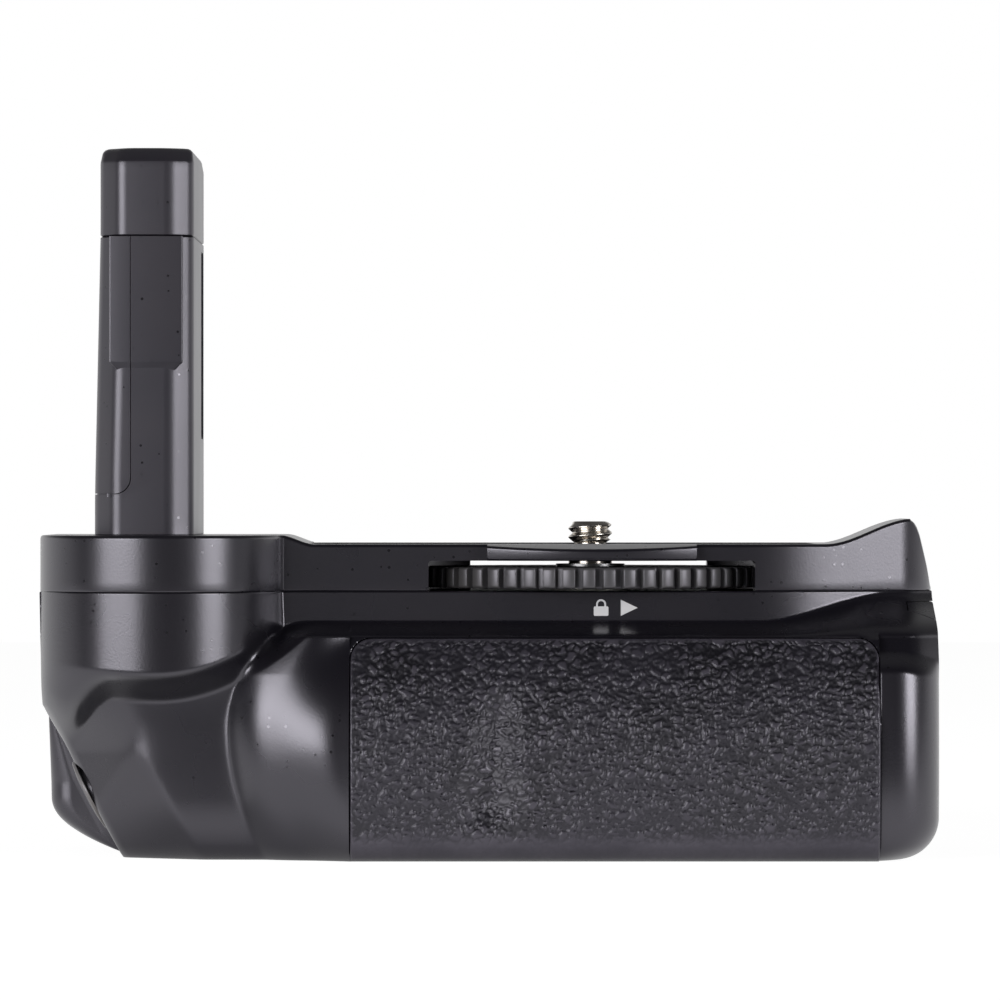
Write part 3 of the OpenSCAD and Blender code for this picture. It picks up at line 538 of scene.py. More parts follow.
def groove(z):
    """Floor of the finger groove: it leans out under the D and tucks in towards the base."""
    lean = 0.35 * np.square(np.clip((z - 19) / 5, 0, 1.5)) - 1.3 * np.square(np.maximum(0, 1 - z / 9))
    return GROOVE - 0.5 + lean - drop(EDGE_R, z)


def ridge_x(z):
    """Where the groove ends and the rise to the crown begins."""
    return RIDGE_X + np.where(z < RIDGE_Z, 0.0145, 0.032) * np.square(z - RIDGE_Z)


def palm(x, z):
    """Finger groove, its left flank, the folded facet and the rise to the crown."""
    edge = FLANK_X - 0.03 * np.square(np.maximum(0, z - 16))
    flank = groove(z) - FLANK * (1 - 0.7 * ease(15, 26, z)) * past(edge - x, 3.2) - drop(4.0, x - left_x(z))
    s = (FOLD_X - x) * math.sin(FOLD_DIR) + (FOLD_Z - z) * math.cos(FOLD_DIR)
    fold = groove(z) - FOLD * past(s, 0.16)
    soft = 0.6
    h = np.clip(0.5 + 0.5 * (fold - flank) / soft, 0, 1)
    hollow = mix(fold, flank, h) - soft * h * (1 - h)
    t = np.clip(past(x - ridge_x(z), 0.12) / RISE, 0, 1)
    upright = CROWN - CREST_BACK - 1.4 * np.square((z - CROWN_Z) / CROWN_Z) - tuck(z)
    crest = mix(upright, middle(x, z), ease(0.35, 0.9, t))
    return mix(hollow, crest, 1 - np.power(1 - t, 4.2))


def swell(a, b, k):
    """The larger of two values, with a fillet of about k where they meet."""
    h = np.maximum(k - np.abs(a - b), 0) / k
    return np.maximum(a, b) + h * h * k / 4


def dee(x):
    """Reach of the D of the hand grip, which runs on steeply past its right end."""
    u = x - GRIP_X
    end = 0.988 * GRIP_R
    lead = math.sqrt(GRIP_R ** 2 - end ** 2)
    curve = np.sqrt(np.maximum(0, GRIP_R ** 2 - np.square(u)))
    return GRIP_LEAD + np.where(u < end, curve, lead - end / lead * (u - end))


def left_form(x, z):
    hand = np.where(x < GRIP_X, palm(x, z), mix(palm(x, z), face(x), ledge(x, z)))
    fillet = (5 + 0.3 * (PARTING - z)) * ease(GRIP_X + 6, GRIP_X + 14, x) + 0.001
    bulge = swell(dee(x), face(x), fillet)
    under = PARTING - UNDER + np.where(x > GRIP_X, 0.021, 0.007) * np.square(x - GRIP_X)
    spread = 4.0 + 9.0 * ease(GRIP_X - 6, GRIP_X - 15, x)
    return mix(hand, bulge, ease(under - spread, under + 0.6, z))


def form(x, z):
    """Reach of the outside ahead of the screw axis."""
    over = ease(SKIN_X1 - 4, SKIN_X1 + 0.1, x) * ease(SKIN_TOP - 0.4, SKIN_TOP + 0.8, z)
    inside = mix(middle(x, z), pillar(x, z), over)
    return np.where(x < SKIN_X0, left_form(x, z), np.where(x > SKIN_X1, pillar(x, z), inside))


def skin_edge(x, z):
    """Distance to the border of the front skin, with rounded upper corners, below zero inside."""
    cx, half = (SKIN_X0 + SKIN_X1) / 2, (SKIN_X1 - SKIN_X0) / 2
    qx = np.abs(x - cx) - (half - SKIN_R)
    qz = z - (SKIN_TOP - SKIN_R)
    corner = np.hypot(np.maximum(qx, 0), np.maximum(qz, 0))
    return corner + np.minimum(np.maximum(qx, qz), 0) - SKIN_R


print("reach at the crown", float(form(5.0, CROWN_Z)))

# %% [markdown]
# With the formula at hand, the lower housing is a stack of level slices, like a sliced loaf: each
# slice runs up the left side, round the shutter notch, along the front and back round the rear. The
# slices sit closer together where edges are rounded. Lofting slices keeps the mesh closed, which
# the cuts in the next step need.

# %% Lower housing, the outer form
SEAM_R = 0.25
NOTCH_X, NOTCH_Y, NOTCH_Z, NOTCH_TURN = -71.6, -5.0, 8.9, 117.6
NOTCH_AT = np.array([NOTCH_X, -13.5, NOTCH_Z])
notch_angle = math.radians(NOTCH_TURN)
NOTCH_OUT = np.array([-math.sin(notch_angle), 0.0, math.cos(notch_angle)])


def notch_x(z):
    """Where the slanting floor of the shutter notch cuts a level."""
    return NOTCH_X - (z - NOTCH_Z) * NOTCH_OUT[2] / NOTCH_OUT[0]


def arc(cx, cy, r, a0, a1, n):
    a = np.radians(np.linspace(a0, a1, n))
    return np.stack([cx + r * np.cos(a), cy + r * np.sin(a)], 1)


def run(p, q, n):
    t = np.linspace(0, 1, n)[:, None]
    return np.array(p) * (1 - t) + np.array(q) * t


def front_stations(x0, x1, z):
    """Stations along the front; a fine band of them follows the ridge."""
    t = np.linspace(0, 1, 140)
    ridge = float(ridge_x(min(z, 31.0)))
    first = x0 + (ridge - 0.7 - x0) * (0.35 * t + 0.65 * t * t)
    last = x1 - (x1 - SKIN_X1 - 1) * np.cos(quarter(40))
    parts = [first, ridge - 0.7 + 0.12 * np.arange(1, 36), np.linspace(ridge + 3.6, SKIN_X0 - 0.7, 46),
             np.arange(SKIN_X0 - 0.6, SKIN_X0 + 3.6, 0.13), np.linspace(SKIN_X0 + 4, SKIN_X1 - 4, 84),
             np.arange(SKIN_X1 - 3.6, SKIN_X1 + 0.9, 0.13), last]
    return np.concatenate(parts)


def lower_slice(z, inset=0.0):
    """Outline of the lower housing at a height, drawn in at the front by inset."""
    e = float(drop(SEAM_R, PARTING - z))
    x0, x1, back = float(left_x(z)) + e, float(right_x(z)) - e, float(rear_y(z)) - e
    cut = max(x0, float(notch_x(z)))
    xs = front_stations(cut, x1, z)
    recess = (SKIN_T + SEAT_GAP + 0.3 * dent(xs, z)) * (1 - ease(-0.12, 0.06, skin_edge(xs, z)))
    reach = form(xs, np.full_like(xs, z)) - recess - e - inset
    if cut > x0 + 0.02:
        reach = reach - drop(1.2, xs - cut)
    ro, ri = min(3.2, 0.55 * (cut - x0)), min(2.4, 0.44 * (cut - x0))
    return np.concatenate([
        run((x0, back - 9), (x0, NOTCH_Y + ro), 12)[:-1],
        arc(x0 + ro, NOTCH_Y + ro, ro, 180, 270, 12),
        arc(cut - ri, NOTCH_Y - ri, ri, 90, 0, 12),
        run((cut, NOTCH_Y - ri), (cut, -reach[0]), 16)[1:-1],
        np.stack([xs, -reach], 1),
        run((x1, -reach[-1]), (x1, back - 5), 14)[1:-1],
        arc(x1 - 5, back - 5, 5, 0, 90, 14),
        run((x1 - 5, back), (x0 + 9, back), 40)[1:-1],
        arc(x0 + 9, back - 9, 9, 90, 180, 18)[:-1]])


levels = np.unique(np.concatenate([
    EDGE_R * (1 - np.cos(quarter(12))), np.arange(2.8, 22.0, 0.36),
    np.arange(22.0, 28.0, 0.24), np.arange(28.0, 32.6, 0.14), np.arange(32.6, 37.7, 0.15),
    [37.8, 37.85, 37.9, 37.96, 38.02, PARTING]]))
lower = lofted("lower_housing", [at_height(lower_slice(z), z) for z in levels])
print("lower housing:", len(levels), "levels,", len(lower.data.vertices), "points")

# %% [markdown]
# The inside and the openings are cut out of the closed form. The chambers leave thin walls around
# the battery bay and the boards, the door opening takes the hinge, and small bores take the screws,
# the tripod socket, the shutter button, the lock slider and the jack.

# %% Lower housing, chambers and openings
CUT = 0.1
HINGE = np.array([45.8, 0.0, 4.3])
CASE_POSTS = [(-48.6, -12.0), (-53.3, 18.3), (-35.4, -12.0), (-28.4, 18.3)]
SOCKET_SCREWS = [(x, y) for x in (-13, 13) for y in (-10, 10)]
door_y0, door_y1, door_top = door_low[1], door_high[1], door_high[2]
KNUCKLE_Y0, KNUCKLE_Y1 = door_low[1] + 7, door_high[1] - 7
LUG_Z, LUG_R, BARREL_R, DOOR_GAP, PAST_END = 8.1, 3.2, 1.8, 0.3, 60


def bore(x, y, z0, z1, r, steps=40):
    return turned([(0, r), (z1 - z0, r)], (x, y, z0), (0, 0, 1), "bore", steps)


def hinge_rod(y0, y1, r):
    return turned([(0, r), (y1 - y0, r)], (HINGE[0], y0, HINGE[2]), (0, 1, 0), "rod", 48)


def notch_bore(h0, h1, r, steps=56):
    return turned([(0, r), (h1 - h0, r)], NOTCH_AT + h0 * NOTCH_OUT, NOTCH_OUT, "bore", steps)


chambers = [((-14.4, -17.6, bay_low[2]), (45.5, 22.6, PARTING + 1)),
            ((-17, -14, 2.2), (17, 14, bay_low[2] + CUT)),
            ((-54.6, -14.6, 2.2), (-14.3, 22.6, PARTING + 1)),
            ((-69.6, -9, 15), (-54.5, 17.5, PARTING + 1)),
            ((-41.6, -24, 3.2), (37.5, -17.5, SKIN_TOP - 3))]


def loaf(inset, name):
    """The housing's outer form alone, with the front drawn in."""
    rows = [at_height(lower_slice(z, inset), z) for z in levels[::2]]
    return lofted(name, rows + [at_height(rows[-1][:, :2], PARTING + 2)])


for low, high in chambers:
    room = block(low, high)
    if low[1] < -17:
        carve(room, loaf(1.0, "core"), "INTERSECT")
    carve(lower, room)
for x, y in CASE_POSTS:
    carve(lower, bore(x, y, 2.1, PARTING - 0.02, 3.0), "UNION")
    carve(lower, bore(x, y, -1, PARTING + 1, 1.1))
    carve(lower, bore(x, y, -1, 3.7, 2.2))
knuckle_y0, knuckle_y1 = KNUCKLE_Y0 - DOOR_GAP, KNUCKLE_Y1 + DOOR_GAP
carve(lower, block((45.1, door_y0 - DOOR_GAP, LUG_Z - DOOR_GAP),
                   (PAST_END, door_y1 + DOOR_GAP, door_top + 0.06)))
carve(lower, hinge_rod(knuckle_y0, knuckle_y1, 3.7))
for x, z in ((HINGE[0], HINGE[2] - 3.4), (45.1, HINGE[2])):
    carve(lower, block((x, knuckle_y0, z), (PAST_END, knuckle_y1, LUG_Z)))
lug_room = block((44.8, door_y0 - DOOR_GAP, HINGE[2]), (PAST_END, door_y1 + DOOR_GAP, LUG_Z))
carve(lower, carve(lug_room, hinge_rod(door_y0 - 1, door_y1 + 1, LUG_R)))
carve(lower, hinge_rod(door_y0 - 4, door_y1 + 1, 0.92))
print("lower housing after the chambers:", len(lower.data.polygons), "faces")

# %% [markdown]
# Round openings come next: the tripod socket, its screws, the stepped bore of the shutter button, the
# lock slider's slot and the jack. The rear skin's seat follows once rounded blocks are at hand.

# %% Lower housing, bores and seats
for r, top in ((5.1, bay_low[2]), (8.6, 1.3)):
    carve(lower, bore(0, 0, -1, top, r, 72))
for x, y in SOCKET_SCREWS:
    carve(lower, bore(x, y, 0.6, 4.6, 1.1))
for h0, h1, r in ((-0.8, 3, 5.5), (-3, 1, 4.35), (-9, -2, 5.5)):
    carve(lower, notch_bore(h0, h1, r))
REAR_SEAT = ((SKIN_X0, REAR - SKIN_T, rear_low[2] - SEAT_GAP),
             (SKIN_X1, REAR + 5, rear_high[2] + SEAT_GAP))
slider_low, slider_high = box_mm("power_slider")
SLIDER_X, SLIDER_Z = (slider_low[0] + slider_high[0]) / 2, (slider_low[2] + slider_high[2]) / 2
JACK_X, JACK_Z = -45.6, 13.0
carve(lower, block((SLIDER_X - 4.6, 20, SLIDER_Z - 2.5), (SLIDER_X + 8.6, REAR + 5, SLIDER_Z + 2.5)))
carve(lower, turned([(0, 2.9), (9, 2.9)], (JACK_X, REAR - 6, JACK_Z), (0, 1, 0), "bore", 48))
print("lower housing with its bores:", len(lower.data.polygons), "faces")

# %% [markdown]
# Many small pieces are boxes with a rounded outline and rolled edges, such as the skins, the pad and
# the slider. A cube with a Bevel modifier could make them, but a stack of shrinking rounded outlines
# gives even loops and keeps each roll's radius exact.

# %% Rounded blocks


def rounded_outline(u0, v0, u1, v1, r, n=7):
    r = max(min(r, (u1 - u0) / 2 - 0.001, (v1 - v0) / 2 - 0.001), 0.001)
    return np.concatenate([arc(u1 - r, v1 - r, r, 0, 90, n), arc(u0 + r, v1 - r, r, 90, 180, n),
                           arc(u0 + r, v0 + r, r, 180, 270, n), arc(u1 - r, v0 + r, r, 270, 360, n)])


def soft_block(low, high, r, edge, axis, ends, name="block"):
    """Box with a rounded outline across axis and rolled edges at its low and high end."""
    u, v = [k for k in range(3) if k != axis]
    roll = edge * (1 - np.cos(quarter(6)))
    start = [(low[axis] + h, float(drop(edge, h))) for h in roll] if ends[0] else [(low[axis], 0.0)]
    stop = [(high[axis] - h, float(drop(edge, h))) for h in roll[::-1]] if ends[1] else [(high[axis], 0.0)]
    loops = []
    for level, inset in start + stop:
        flat = rounded_outline(low[u] + inset, low[v] + inset, high[u] - inset, high[v] - inset, r - inset)
        ring = np.zeros((len(flat), 3))
        ring[:, u], ring[:, v], ring[:, axis] = flat[:, 0], flat[:, 1], level
        loops.append(ring)
    return lofted(name, loops)


def pocket(low, high, r, axis):
    """Rounded block with square ends, only ever used to cut."""
    return soft_block(low, high, r, 0.01, axis, (False, False))


carve(lower, pocket(*REAR_SEAT, 2.5, 1))
tie(lower, "grip_body", housing_plastic, ["lower_shell"], 28)

# %% [markdown]
# The upper housing is the lid: a flat deck under the camera, a D-shaped plinth that carries the post
# and a horn that rises at the right end. Its top is a height over x and y, so it is lofted from
# cross-sections along x, each one a closed outline of the deck with rolled edges.

# %% Upper housing, the lid
HORN = upper_high[2] - DECK
LID_EDGE = 0.55


def lid_front(x):
    flat = FACE - slant(x) - drop(5.0, RIGHT - 0.1 - x)
    return np.where(x < GRIP_X, dee(x), swell(dee(x), flat, 5.0))


def lid_rear(x):
    return REAR - drop(9.0, x + LEFT) - drop(5.0, RIGHT - x)


def lid_top(x, y):
    plinth = (1 - ease(GRIP_X + GRIP_R, GRIP_X + GRIP_R + 5, x)) * (1 - ease(14.6, 16.2, y))
    horn = ease(RIGHT - 15.7, RIGHT - 3, x) * (1 - ease(12.0, 18.0, y))
    top = DECK + (PLINTH - DECK) * plinth + HORN * horn
    end = np.interp(x, [44.0, 46.0, 46.5, 46.9, 47.3, 47.7, 48.45, 49.0, RIGHT],
                    [60.0, 48.6, 47.9, 47.2, 46.2, 44.7, 41.8, 39.2, 38.5])
    return -swell(-top, -end, 1.2)


def steepness(edge, x, step=0.02):
    """How much longer an edge is than its run along x."""
    return math.hypot(1, float(edge(min(x + step, RIGHT)) - edge(max(x - step, -LEFT))) / (2 * step))


def lid_section(x):
    front, back = float(lid_front(x)), float(lid_rear(x))
    lean_f, lean_b = steepness(lid_front, x), steepness(lid_rear, x)
    t = np.linspace(0, 1, 64)
    for _ in range(2):
        t = 0.5 - 0.5 * np.cos(math.pi * t)
    y = -front + (front + back) * t
    z = lid_top(x, y)
    near = np.minimum((y + front) / lean_f, (back - y) / lean_b)
    z = np.maximum(z - drop(LID_EDGE, np.minimum(near, x + LEFT)), PARTING + 0.3)
    rise = np.array([0.0, 0.06, 0.15, 0.28])
    roll = drop(SEAM_R, rise)
    foot = PARTING + rise[-1]
    side = np.linspace(0, 1, 7)[1:-1]
    return np.concatenate([
        np.stack([-front + roll, PARTING + rise], 1),
        np.stack([np.full(5, -front), foot + (z[0] - foot) * side], 1),
        np.stack([y, z], 1),
        np.stack([np.full(5, back), z[-1] + (foot - z[-1]) * side], 1),
        np.stack([back - roll[::-1], PARTING + rise[::-1]], 1),
        run((back - 0.3, PARTING), (-front + 0.3, PARTING), 12)])


lid_x = np.concatenate([
    GRIP_X - GRIP_R * np.cos(np.linspace(0.02, math.pi / 2, 64)), np.arange(GRIP_X + 0.3, -36, 0.3),
    np.arange(-35.5, 28, 1.0), np.arange(28, 43.8, 0.35),
    RIGHT - 0.03 - 5.2 * np.cos(np.linspace(0.1, math.pi / 2, 64))])
upper = lofted("upper_housing", [at_station(x, lid_section(x)) for x in lid_x])
print("upper housing:", len(lid_x), "sections")

# %% [markdown]
# A thin visor stands out over the thumb wheel. Then the lid is hollowed from below as the lower
# housing was: a round pocket for the wheel, slots for the thumb at the front and the rear, a seat for
# the rubber pad and bores for the screws.

# %% Upper housing, visor and cuts
VISOR_TIP, VISOR_R, VISOR_FALL, VISOR_HALF = 24.5, 36.0, 0.75, 14.9
SLOT_W, REAR_SLOT_W, ABOVE = 46.6, 35.0, 60
PLATE_SCREWS = [(x, y) for x in (-28.5, 28.5) for y in (-12.0, 12.0)]
WIRE_X0, WIRE_X1, WIRE_Y0, WIRE_Y1 = -66.3, -60.3, -8, 4  # the wires' way up into the post
POST_SCREWS = [(-63.3, post_low[1] + 6.6), (-63.3, post_high[1] - 5)]


def visor_section(x):
    tip = VISOR_TIP - VISOR_R + math.sqrt(VISOR_R ** 2 - x * x)
    y = -tip + (tip - FACE + 0.8) * (0.5 - 0.5 * np.cos(np.linspace(0, math.pi, 24)))
    z = DECK - VISOR_FALL * np.clip((-y - FACE) / (VISOR_TIP - FACE), 0, 1)
    z = z - drop(0.4, y + tip)
    under = np.array([0.3, 0.12, 0.0])
    return np.concatenate([np.stack([y, z], 1), [[y[-1], CEILING]],
                           np.stack([-tip + under[::-1], CEILING + under], 1)])


visor_x = np.linspace(-VISOR_HALF, VISOR_HALF, 90)
carve(upper, lofted("visor", [at_station(x, visor_section(x)) for x in visor_x]), "UNION")
pad_seat = pocket((pad_low[0] - 0.1, pad_low[1] - 0.1, pad_low[2]),
                  (pad_high[0] + 0.1, pad_high[1] + 0.1, ABOVE), 2.0, 2)
carve(upper, pad_seat)
carve(upper, bore(0, 0, PARTING - 1, CEILING, wheel_high[0] + 0.6, 160))
for half_slot, y0, y1 in ((SLOT_W / 2, -60, -9), (REAR_SLOT_W / 2, 9, 60)):
    carve(upper, pocket((-half_slot, y0, PARTING - 3), (half_slot, y1, CEILING), 0.5, 1))
carve(upper, bore(0, 0, PARTING, ABOVE, 3.7, 64))
carve(upper, block((-74.6, -14, PARTING - 1), (-32, 20.2, CEILING)))
for x, y in CASE_POSTS[:3]:
    carve(upper, bore(x, y, PARTING + 0.02, CEILING + 0.5, 3.0), "UNION")
for x, y in CASE_POSTS + PLATE_SCREWS:
    carve(upper, bore(x, y, PARTING - 1, 41.8, 1.1))
for x, y in POST_SCREWS:
    carve(upper, bore(x, y, PARTING - 1, ABOVE, 1.1))
carve(upper, block((WIRE_X0, WIRE_Y0, PARTING - 1), (WIRE_X1, WIRE_Y1, ABOVE)))
tie(upper, "grip_body", lid_plastic, ["upper_shell"], 30)

# %% [markdown]
# The front skin is moulded rubber with a leather grain: pebbles about a millimetre across, split by
# winding creases. A bump map would vanish at the outline, so the creases are real: the height of each
# point comes from the gap between its two nearest cell centres, with the place warped first so that
# the creases wander. The same height is kept as an attribute; the finish reads it to paint shade in the
# creases.
# Blender seeds this noise from the clock, so a seed is set first: every run gives the same skin.

# %% Grained skins
GRAIN_MM, GRAIN_DEEP, CREASE, REAR_R, GRAIN_SEED = 1.05, 0.34, 0.52, 2.4, 7
noise.seed_set(GRAIN_SEED)


def pebble(x, z, seed):
    """Height of the leather grain, 0 in a crease and 1 on a pebble."""
    place = Vector((x / GRAIN_MM * 0.85, z / GRAIN_MM, seed))
    place += 0.55 * noise.noise_vector(place * 0.9) + 0.25 * noise.noise_vector(place * 2.3)
    near, _ = noise.voronoi(place)
    crease = min(1.0, (near[1] - near[0]) / CREASE)
    worn = 0.5 + 0.5 * noise.noise(place * 0.45)
    return (1 - (1 - crease) ** 2) * (0.72 + 0.28 * worn)


def grained(name, xs, zs, outside, border, thick, seed):
    """Sheet over a grid: outside gives y for x and z, border the distance inside the outline."""
    gx, gz = np.meshgrid(xs, zs)
    for row, z in enumerate(zs):
        gx[row] = border(xs, z)
    grain = np.array([[pebble(x, z, seed) for x, z in zip(*line)] for line in zip(gx, gz)])
    rows, cols = gx.shape
    edge = np.minimum.outer(np.minimum(np.arange(rows), np.arange(rows)[::-1]),
                            np.minimum(np.arange(cols), np.arange(cols)[::-1]))
    calm = np.clip(edge / 3.0, 0, 1)
    grain = 1 - (1 - grain) * calm * mix(0.2, 1.0, ease(2.0, 5.5, gz))
    sink = GRAIN_DEEP * (1 - grain) + 0.28 * np.square(1 - np.clip(edge / 2.0, 0, 1))
    y, away = outside(gx, gz)
    front = np.stack([gx, y + away * sink, gz], -1).reshape(-1, 3)
    back = np.stack([gx, y + away * thick, gz], -1).reshape(-1, 3)
    k = np.arange(rows * cols).reshape(rows, cols)
    quads = np.stack([k[:-1, :-1], k[:-1, 1:], k[1:, 1:], k[1:, :-1]], -1).reshape(-1, 4)
    rim = np.concatenate([k[0, :], k[1:, -1], k[-1, -2::-1], k[-2:0:-1, 0]])
    n = rows * cols
    walls = [[a, b, b + n, a + n] for a, b in zip(rim, np.roll(rim, -1))]
    faces = quads.tolist() + (quads[:, ::-1] + n).tolist() + walls
    mesh = mesh_from(name, np.concatenate([front, back]), faces)
    mesh.attributes.new("grain", "FLOAT", "POINT").data.foreach_set(
        "value", np.concatenate([grain.ravel(), np.ones(n)]).astype(np.float32))
    return placed(name, mesh, merge=False)


def rounded_rows(x0, x1, top, r, base=None):
    """Spreads a row of stations between the rounded ends of an outline."""
    def row(xs, z):
        pull = float(drop(r, top - z))
        if base is not None:
            pull = max(pull, float(drop(r, z - base)))
        return x0 + pull + (xs - x0) * (x1 - x0 - 2 * pull) / (x1 - x0)
    return row


front_skin = grained(
    "front_skin", np.linspace(skin_low[0], skin_high[0], 400),
    np.concatenate([np.linspace(skin_low[2], 2.4, 11), np.linspace(2.7, skin_high[2] - 1, 150),
                    skin_high[2] - 0.9 * np.cos(np.linspace(0.2, math.pi / 2, 8))]),
    lambda x, z: (-middle(x, z), 1.0),
    rounded_rows(skin_low[0], skin_high[0], skin_high[2], SKIN_R), SKIN_T, 3.0)
tie(front_skin, "grip_body", skin_finish, ["front_grip_skin"], 75)
turn = REAR_R * (1 - np.cos(quarter(12)))
rear_skin = grained(
    "rear_skin", np.linspace(rear_low[0], rear_high[0], 240),
    np.concatenate([rear_low[2] + turn, np.linspace(rear_low[2] + 2.8, rear_high[2] - 2.8, 58),
                    rear_high[2] - turn[::-1]]),
    lambda x, z: (np.full_like(x, REAR), -1.0),
    rounded_rows(rear_low[0], rear_high[0], rear_high[2], REAR_R, rear_low[2]), SKIN_T, 9.0)
tie(rear_skin, "grip_body", skin_finish, ["rear_grip_skin"], 75)

# %% [markdown]
# The post goes up into the camera's battery chamber, so it copies a battery with a clip-on cover. One
# chamfered bar is lofted upward and then split by a second solid with a rounded lower corner: what is
# inside becomes the cover, what is outside stays the post. Cutting both from one bar keeps their
# faces flush.

# %% Post, one bar split into shell and cover
POST_X0, POST_X1 = cap_low[0], cap_high[0]
POST_Y0, POST_Y1 = cap_low[1], cap_high[1]
CAP_Z, POST_TOP, FOOT_Z, SEAM_X = cap_low[2], cap_high[2], cover_low[2] - 0.1, cover_high[0] + 0.05
LEFT_BEVEL, RIGHT_BEVEL, LEAN, HOLLOW, HAIR = (2.9, 3.4), (3.2, 1.9), 0.8, 2.6, 0.1


def soft_polygon(corners, r, n=5):
    """Closed outline with each corner rounded by about r."""
    corners = np.asarray(corners, dtype=float)
    out = []
    for before, here, after in zip(np.roll(corners, 1, 0), corners, np.roll(corners, -1, 0)):
        a, b = before - here, after - here
        la, lb = np.linalg.norm(a), np.linalg.norm(b)
        cut = min(r, 0.45 * la, 0.45 * lb)
        p, q = here + a / la * cut, here + b / lb * cut
        t = np.linspace(0, 1, n)[:, None]
        out.append((1 - t) ** 2 * p + 2 * t * (1 - t) * here + t * t * q)
    return np.concatenate(out)


def post_loop(z, x0, x1, inset=0.0, pinch=0.0):
    """Outline of the post at a height: the left chamfer is steep, the right one shallow."""
    y0, y1 = POST_Y0 + inset + pinch, POST_Y1 - inset - pinch
    x0, x1 = x0 + inset, x1 - inset
    (ax, ay), (bx, by) = LEFT_BEVEL, RIGHT_BEVEL
    flat = soft_polygon([(x0 + ax, y0), (x1 - bx, y0), (x1, y0 + by), (x1, y1 - by),
                         (x1 - bx, y1), (x0 + ax, y1), (x0, y1 - ay), (x0, y0 + ay)], 1.1, 7)
    return at_height(flat, z)


def lean(z):
    """The left side leans outward towards the foot."""
    return LEAN * max(0.0, min(1.0, (CAP_Z - z) / (CAP_Z - FOOT_Z)))


def bar(z0, z1, name):
    """The post between two heights."""
    roll = [(0.0, 0.12), (0.05, 0.05), (0.12, 0.0)]
    rows = [(z0 + h, e) for h, e in roll] + [(z, 0.0) for z in np.linspace(z0 + 1, z1 - 1, 12)]
    rows += [(z1 - h, e) for h, e in roll[::-1]]
    return lofted(name, [post_loop(z, POST_X0 - lean(z), POST_X1, e) for z, e in rows])


def cover_room(gap):
    """Prism that splits the cover from the post, with a rounded inner corner."""
    x0, x1, z0, z1, r = POST_X0 - 5, SEAM_X - gap, FOOT_Z + gap, CAP_Z + 5, 2.3
    flat = np.concatenate([arc(x1 - r, z0 + r, r, -90, 0, 12), [(x1, z1), (x0, z1), (x0, z0)]])
    return lofted("room", [[(x, y, z) for x, z in flat] for y in (POST_Y0 - 3, POST_Y1 + 3)])


def relief():
    """Raised block on the front of the post, under the cap, with a mitred lower bevel."""
    def ring(inset, y0, y1):
        x0, x1 = POST_X0 + 1.5 + inset, POST_X1 - 1.5 - inset
        y0, y1 = POST_Y0 + y0, POST_Y0 + y1
        return soft_polygon([(x0, y1), (x0, y0), (x1, y0), (x1, y1)], 0.2)

    low, wide = CAP_Z - 17.9, ring(0.0, -0.6, 3.6)
    return lofted("relief", [at_height(ring(1.1, 0.2, 3.7), low - 1.15), at_height(wide, low),
                             at_height(wide, CAP_Z - HAIR)])


post = carve(bar(PLINTH, CAP_Z - HAIR, "post"), relief(), "UNION")
cover = carve(bar(PLINTH, CAP_Z - HAIR, "post_cover_panel"), relief(), "UNION")
carve(cover, cover_room(HAIR), "INTERSECT")
carve(post, cover_room(0.0))
carve(post, block((SEAM_X - 0.5, POST_Y0 + HOLLOW, FOOT_Z), (POST_X1 - 1.6, POST_Y1 - HOLLOW, 120)))
carve(post, block((WIRE_X0, WIRE_Y0, PLINTH - 1), (WIRE_X1, WIRE_Y1, FOOT_Z + 1)))
carve(cover, block((POST_X0 + 1.6, POST_Y0 + HOLLOW, FOOT_Z + 2.1), (SEAM_X, POST_Y1 - HOLLOW, CAP_Z - 2)))
guide = soft_block((POST_X1 - 0.7, 2.5, 60.0), (POST_X1 + 2, 9.5, 87.2), 1.0, 0.05, 0, (True, False))
carve(post, guide)
tongue = [post_loop(z, POST_X0 - lean(z), SEAM_X - 0.3, 0.3) for z in (FOOT_Z - 0.4, FOOT_Z + 0.098)]
carve(post, lofted("tongue", tongue), "UNION")
for x, y in POST_SCREWS:
    carve(post, bore(x, y, PLINTH - 1, PLINTH + 4.5, 1.1))
tie(post, "grip_body", post_plastic, ["post_shell"], 24)
tie(cover, "grip_body", post_plastic, ["post_cover"], 24)

# %% [markdown]
# The end cap goes on with the post's own outline. Towards the top it draws in, little at the sides
# and more at the front and rear, which gives the sloping end of the photo.

# %% Post, the end cap
cap_rows = [(CAP_Z + h, e, 0.0) for h, e in ((0, 0.25), (0.08, 0.1), (0.2, 0.0))]
cap_rows += [(z, 0.0, 0.0) for z in np.linspace(CAP_Z + 1, POST_TOP - 2.3, 8)]
cap_rows += [(POST_TOP - h, e, pinch) for h, e, pinch in (
    (2.0, 0.02, 0.06), (1.7, 0.08, 0.25), (0.75, 0.22, 1.15), (0.45, 0.36, 1.5), (0.2, 0.6, 1.75),
    (0.05, 0.9, 2.05), (0, 1.2, 2.4))]
cap = lofted("post_end_cap", [post_loop(z, POST_X0, POST_X1, e, pinch) for z, e, pinch in cap_rows])
carve(cap, block((POST_X0 + HOLLOW, POST_Y0 + HOLLOW, CAP_Z - 1),
                 (POST_X1 - HOLLOW, POST_Y1 - HOLLOW, POST_TOP - 5)))
carve(cap, pocket((-65.7, POST_Y0 + 8, POST_TOP - 6), (-60.9, POST_Y0 + 25, POST_TOP + 1), 0.6, 2))
tie(cap, "grip_body", post_plastic, ["post_cap"], 24)

# %% [markdown]
# The thumb wheel is a disc with square teeth whose corners are broken, so each tooth catches a thin
# bright line. The screw that it turns has a real helical thread: its radius is a sawtooth of height
# minus angle, which is how a lathe cuts it. The tripod socket in the base has the same thread inside.

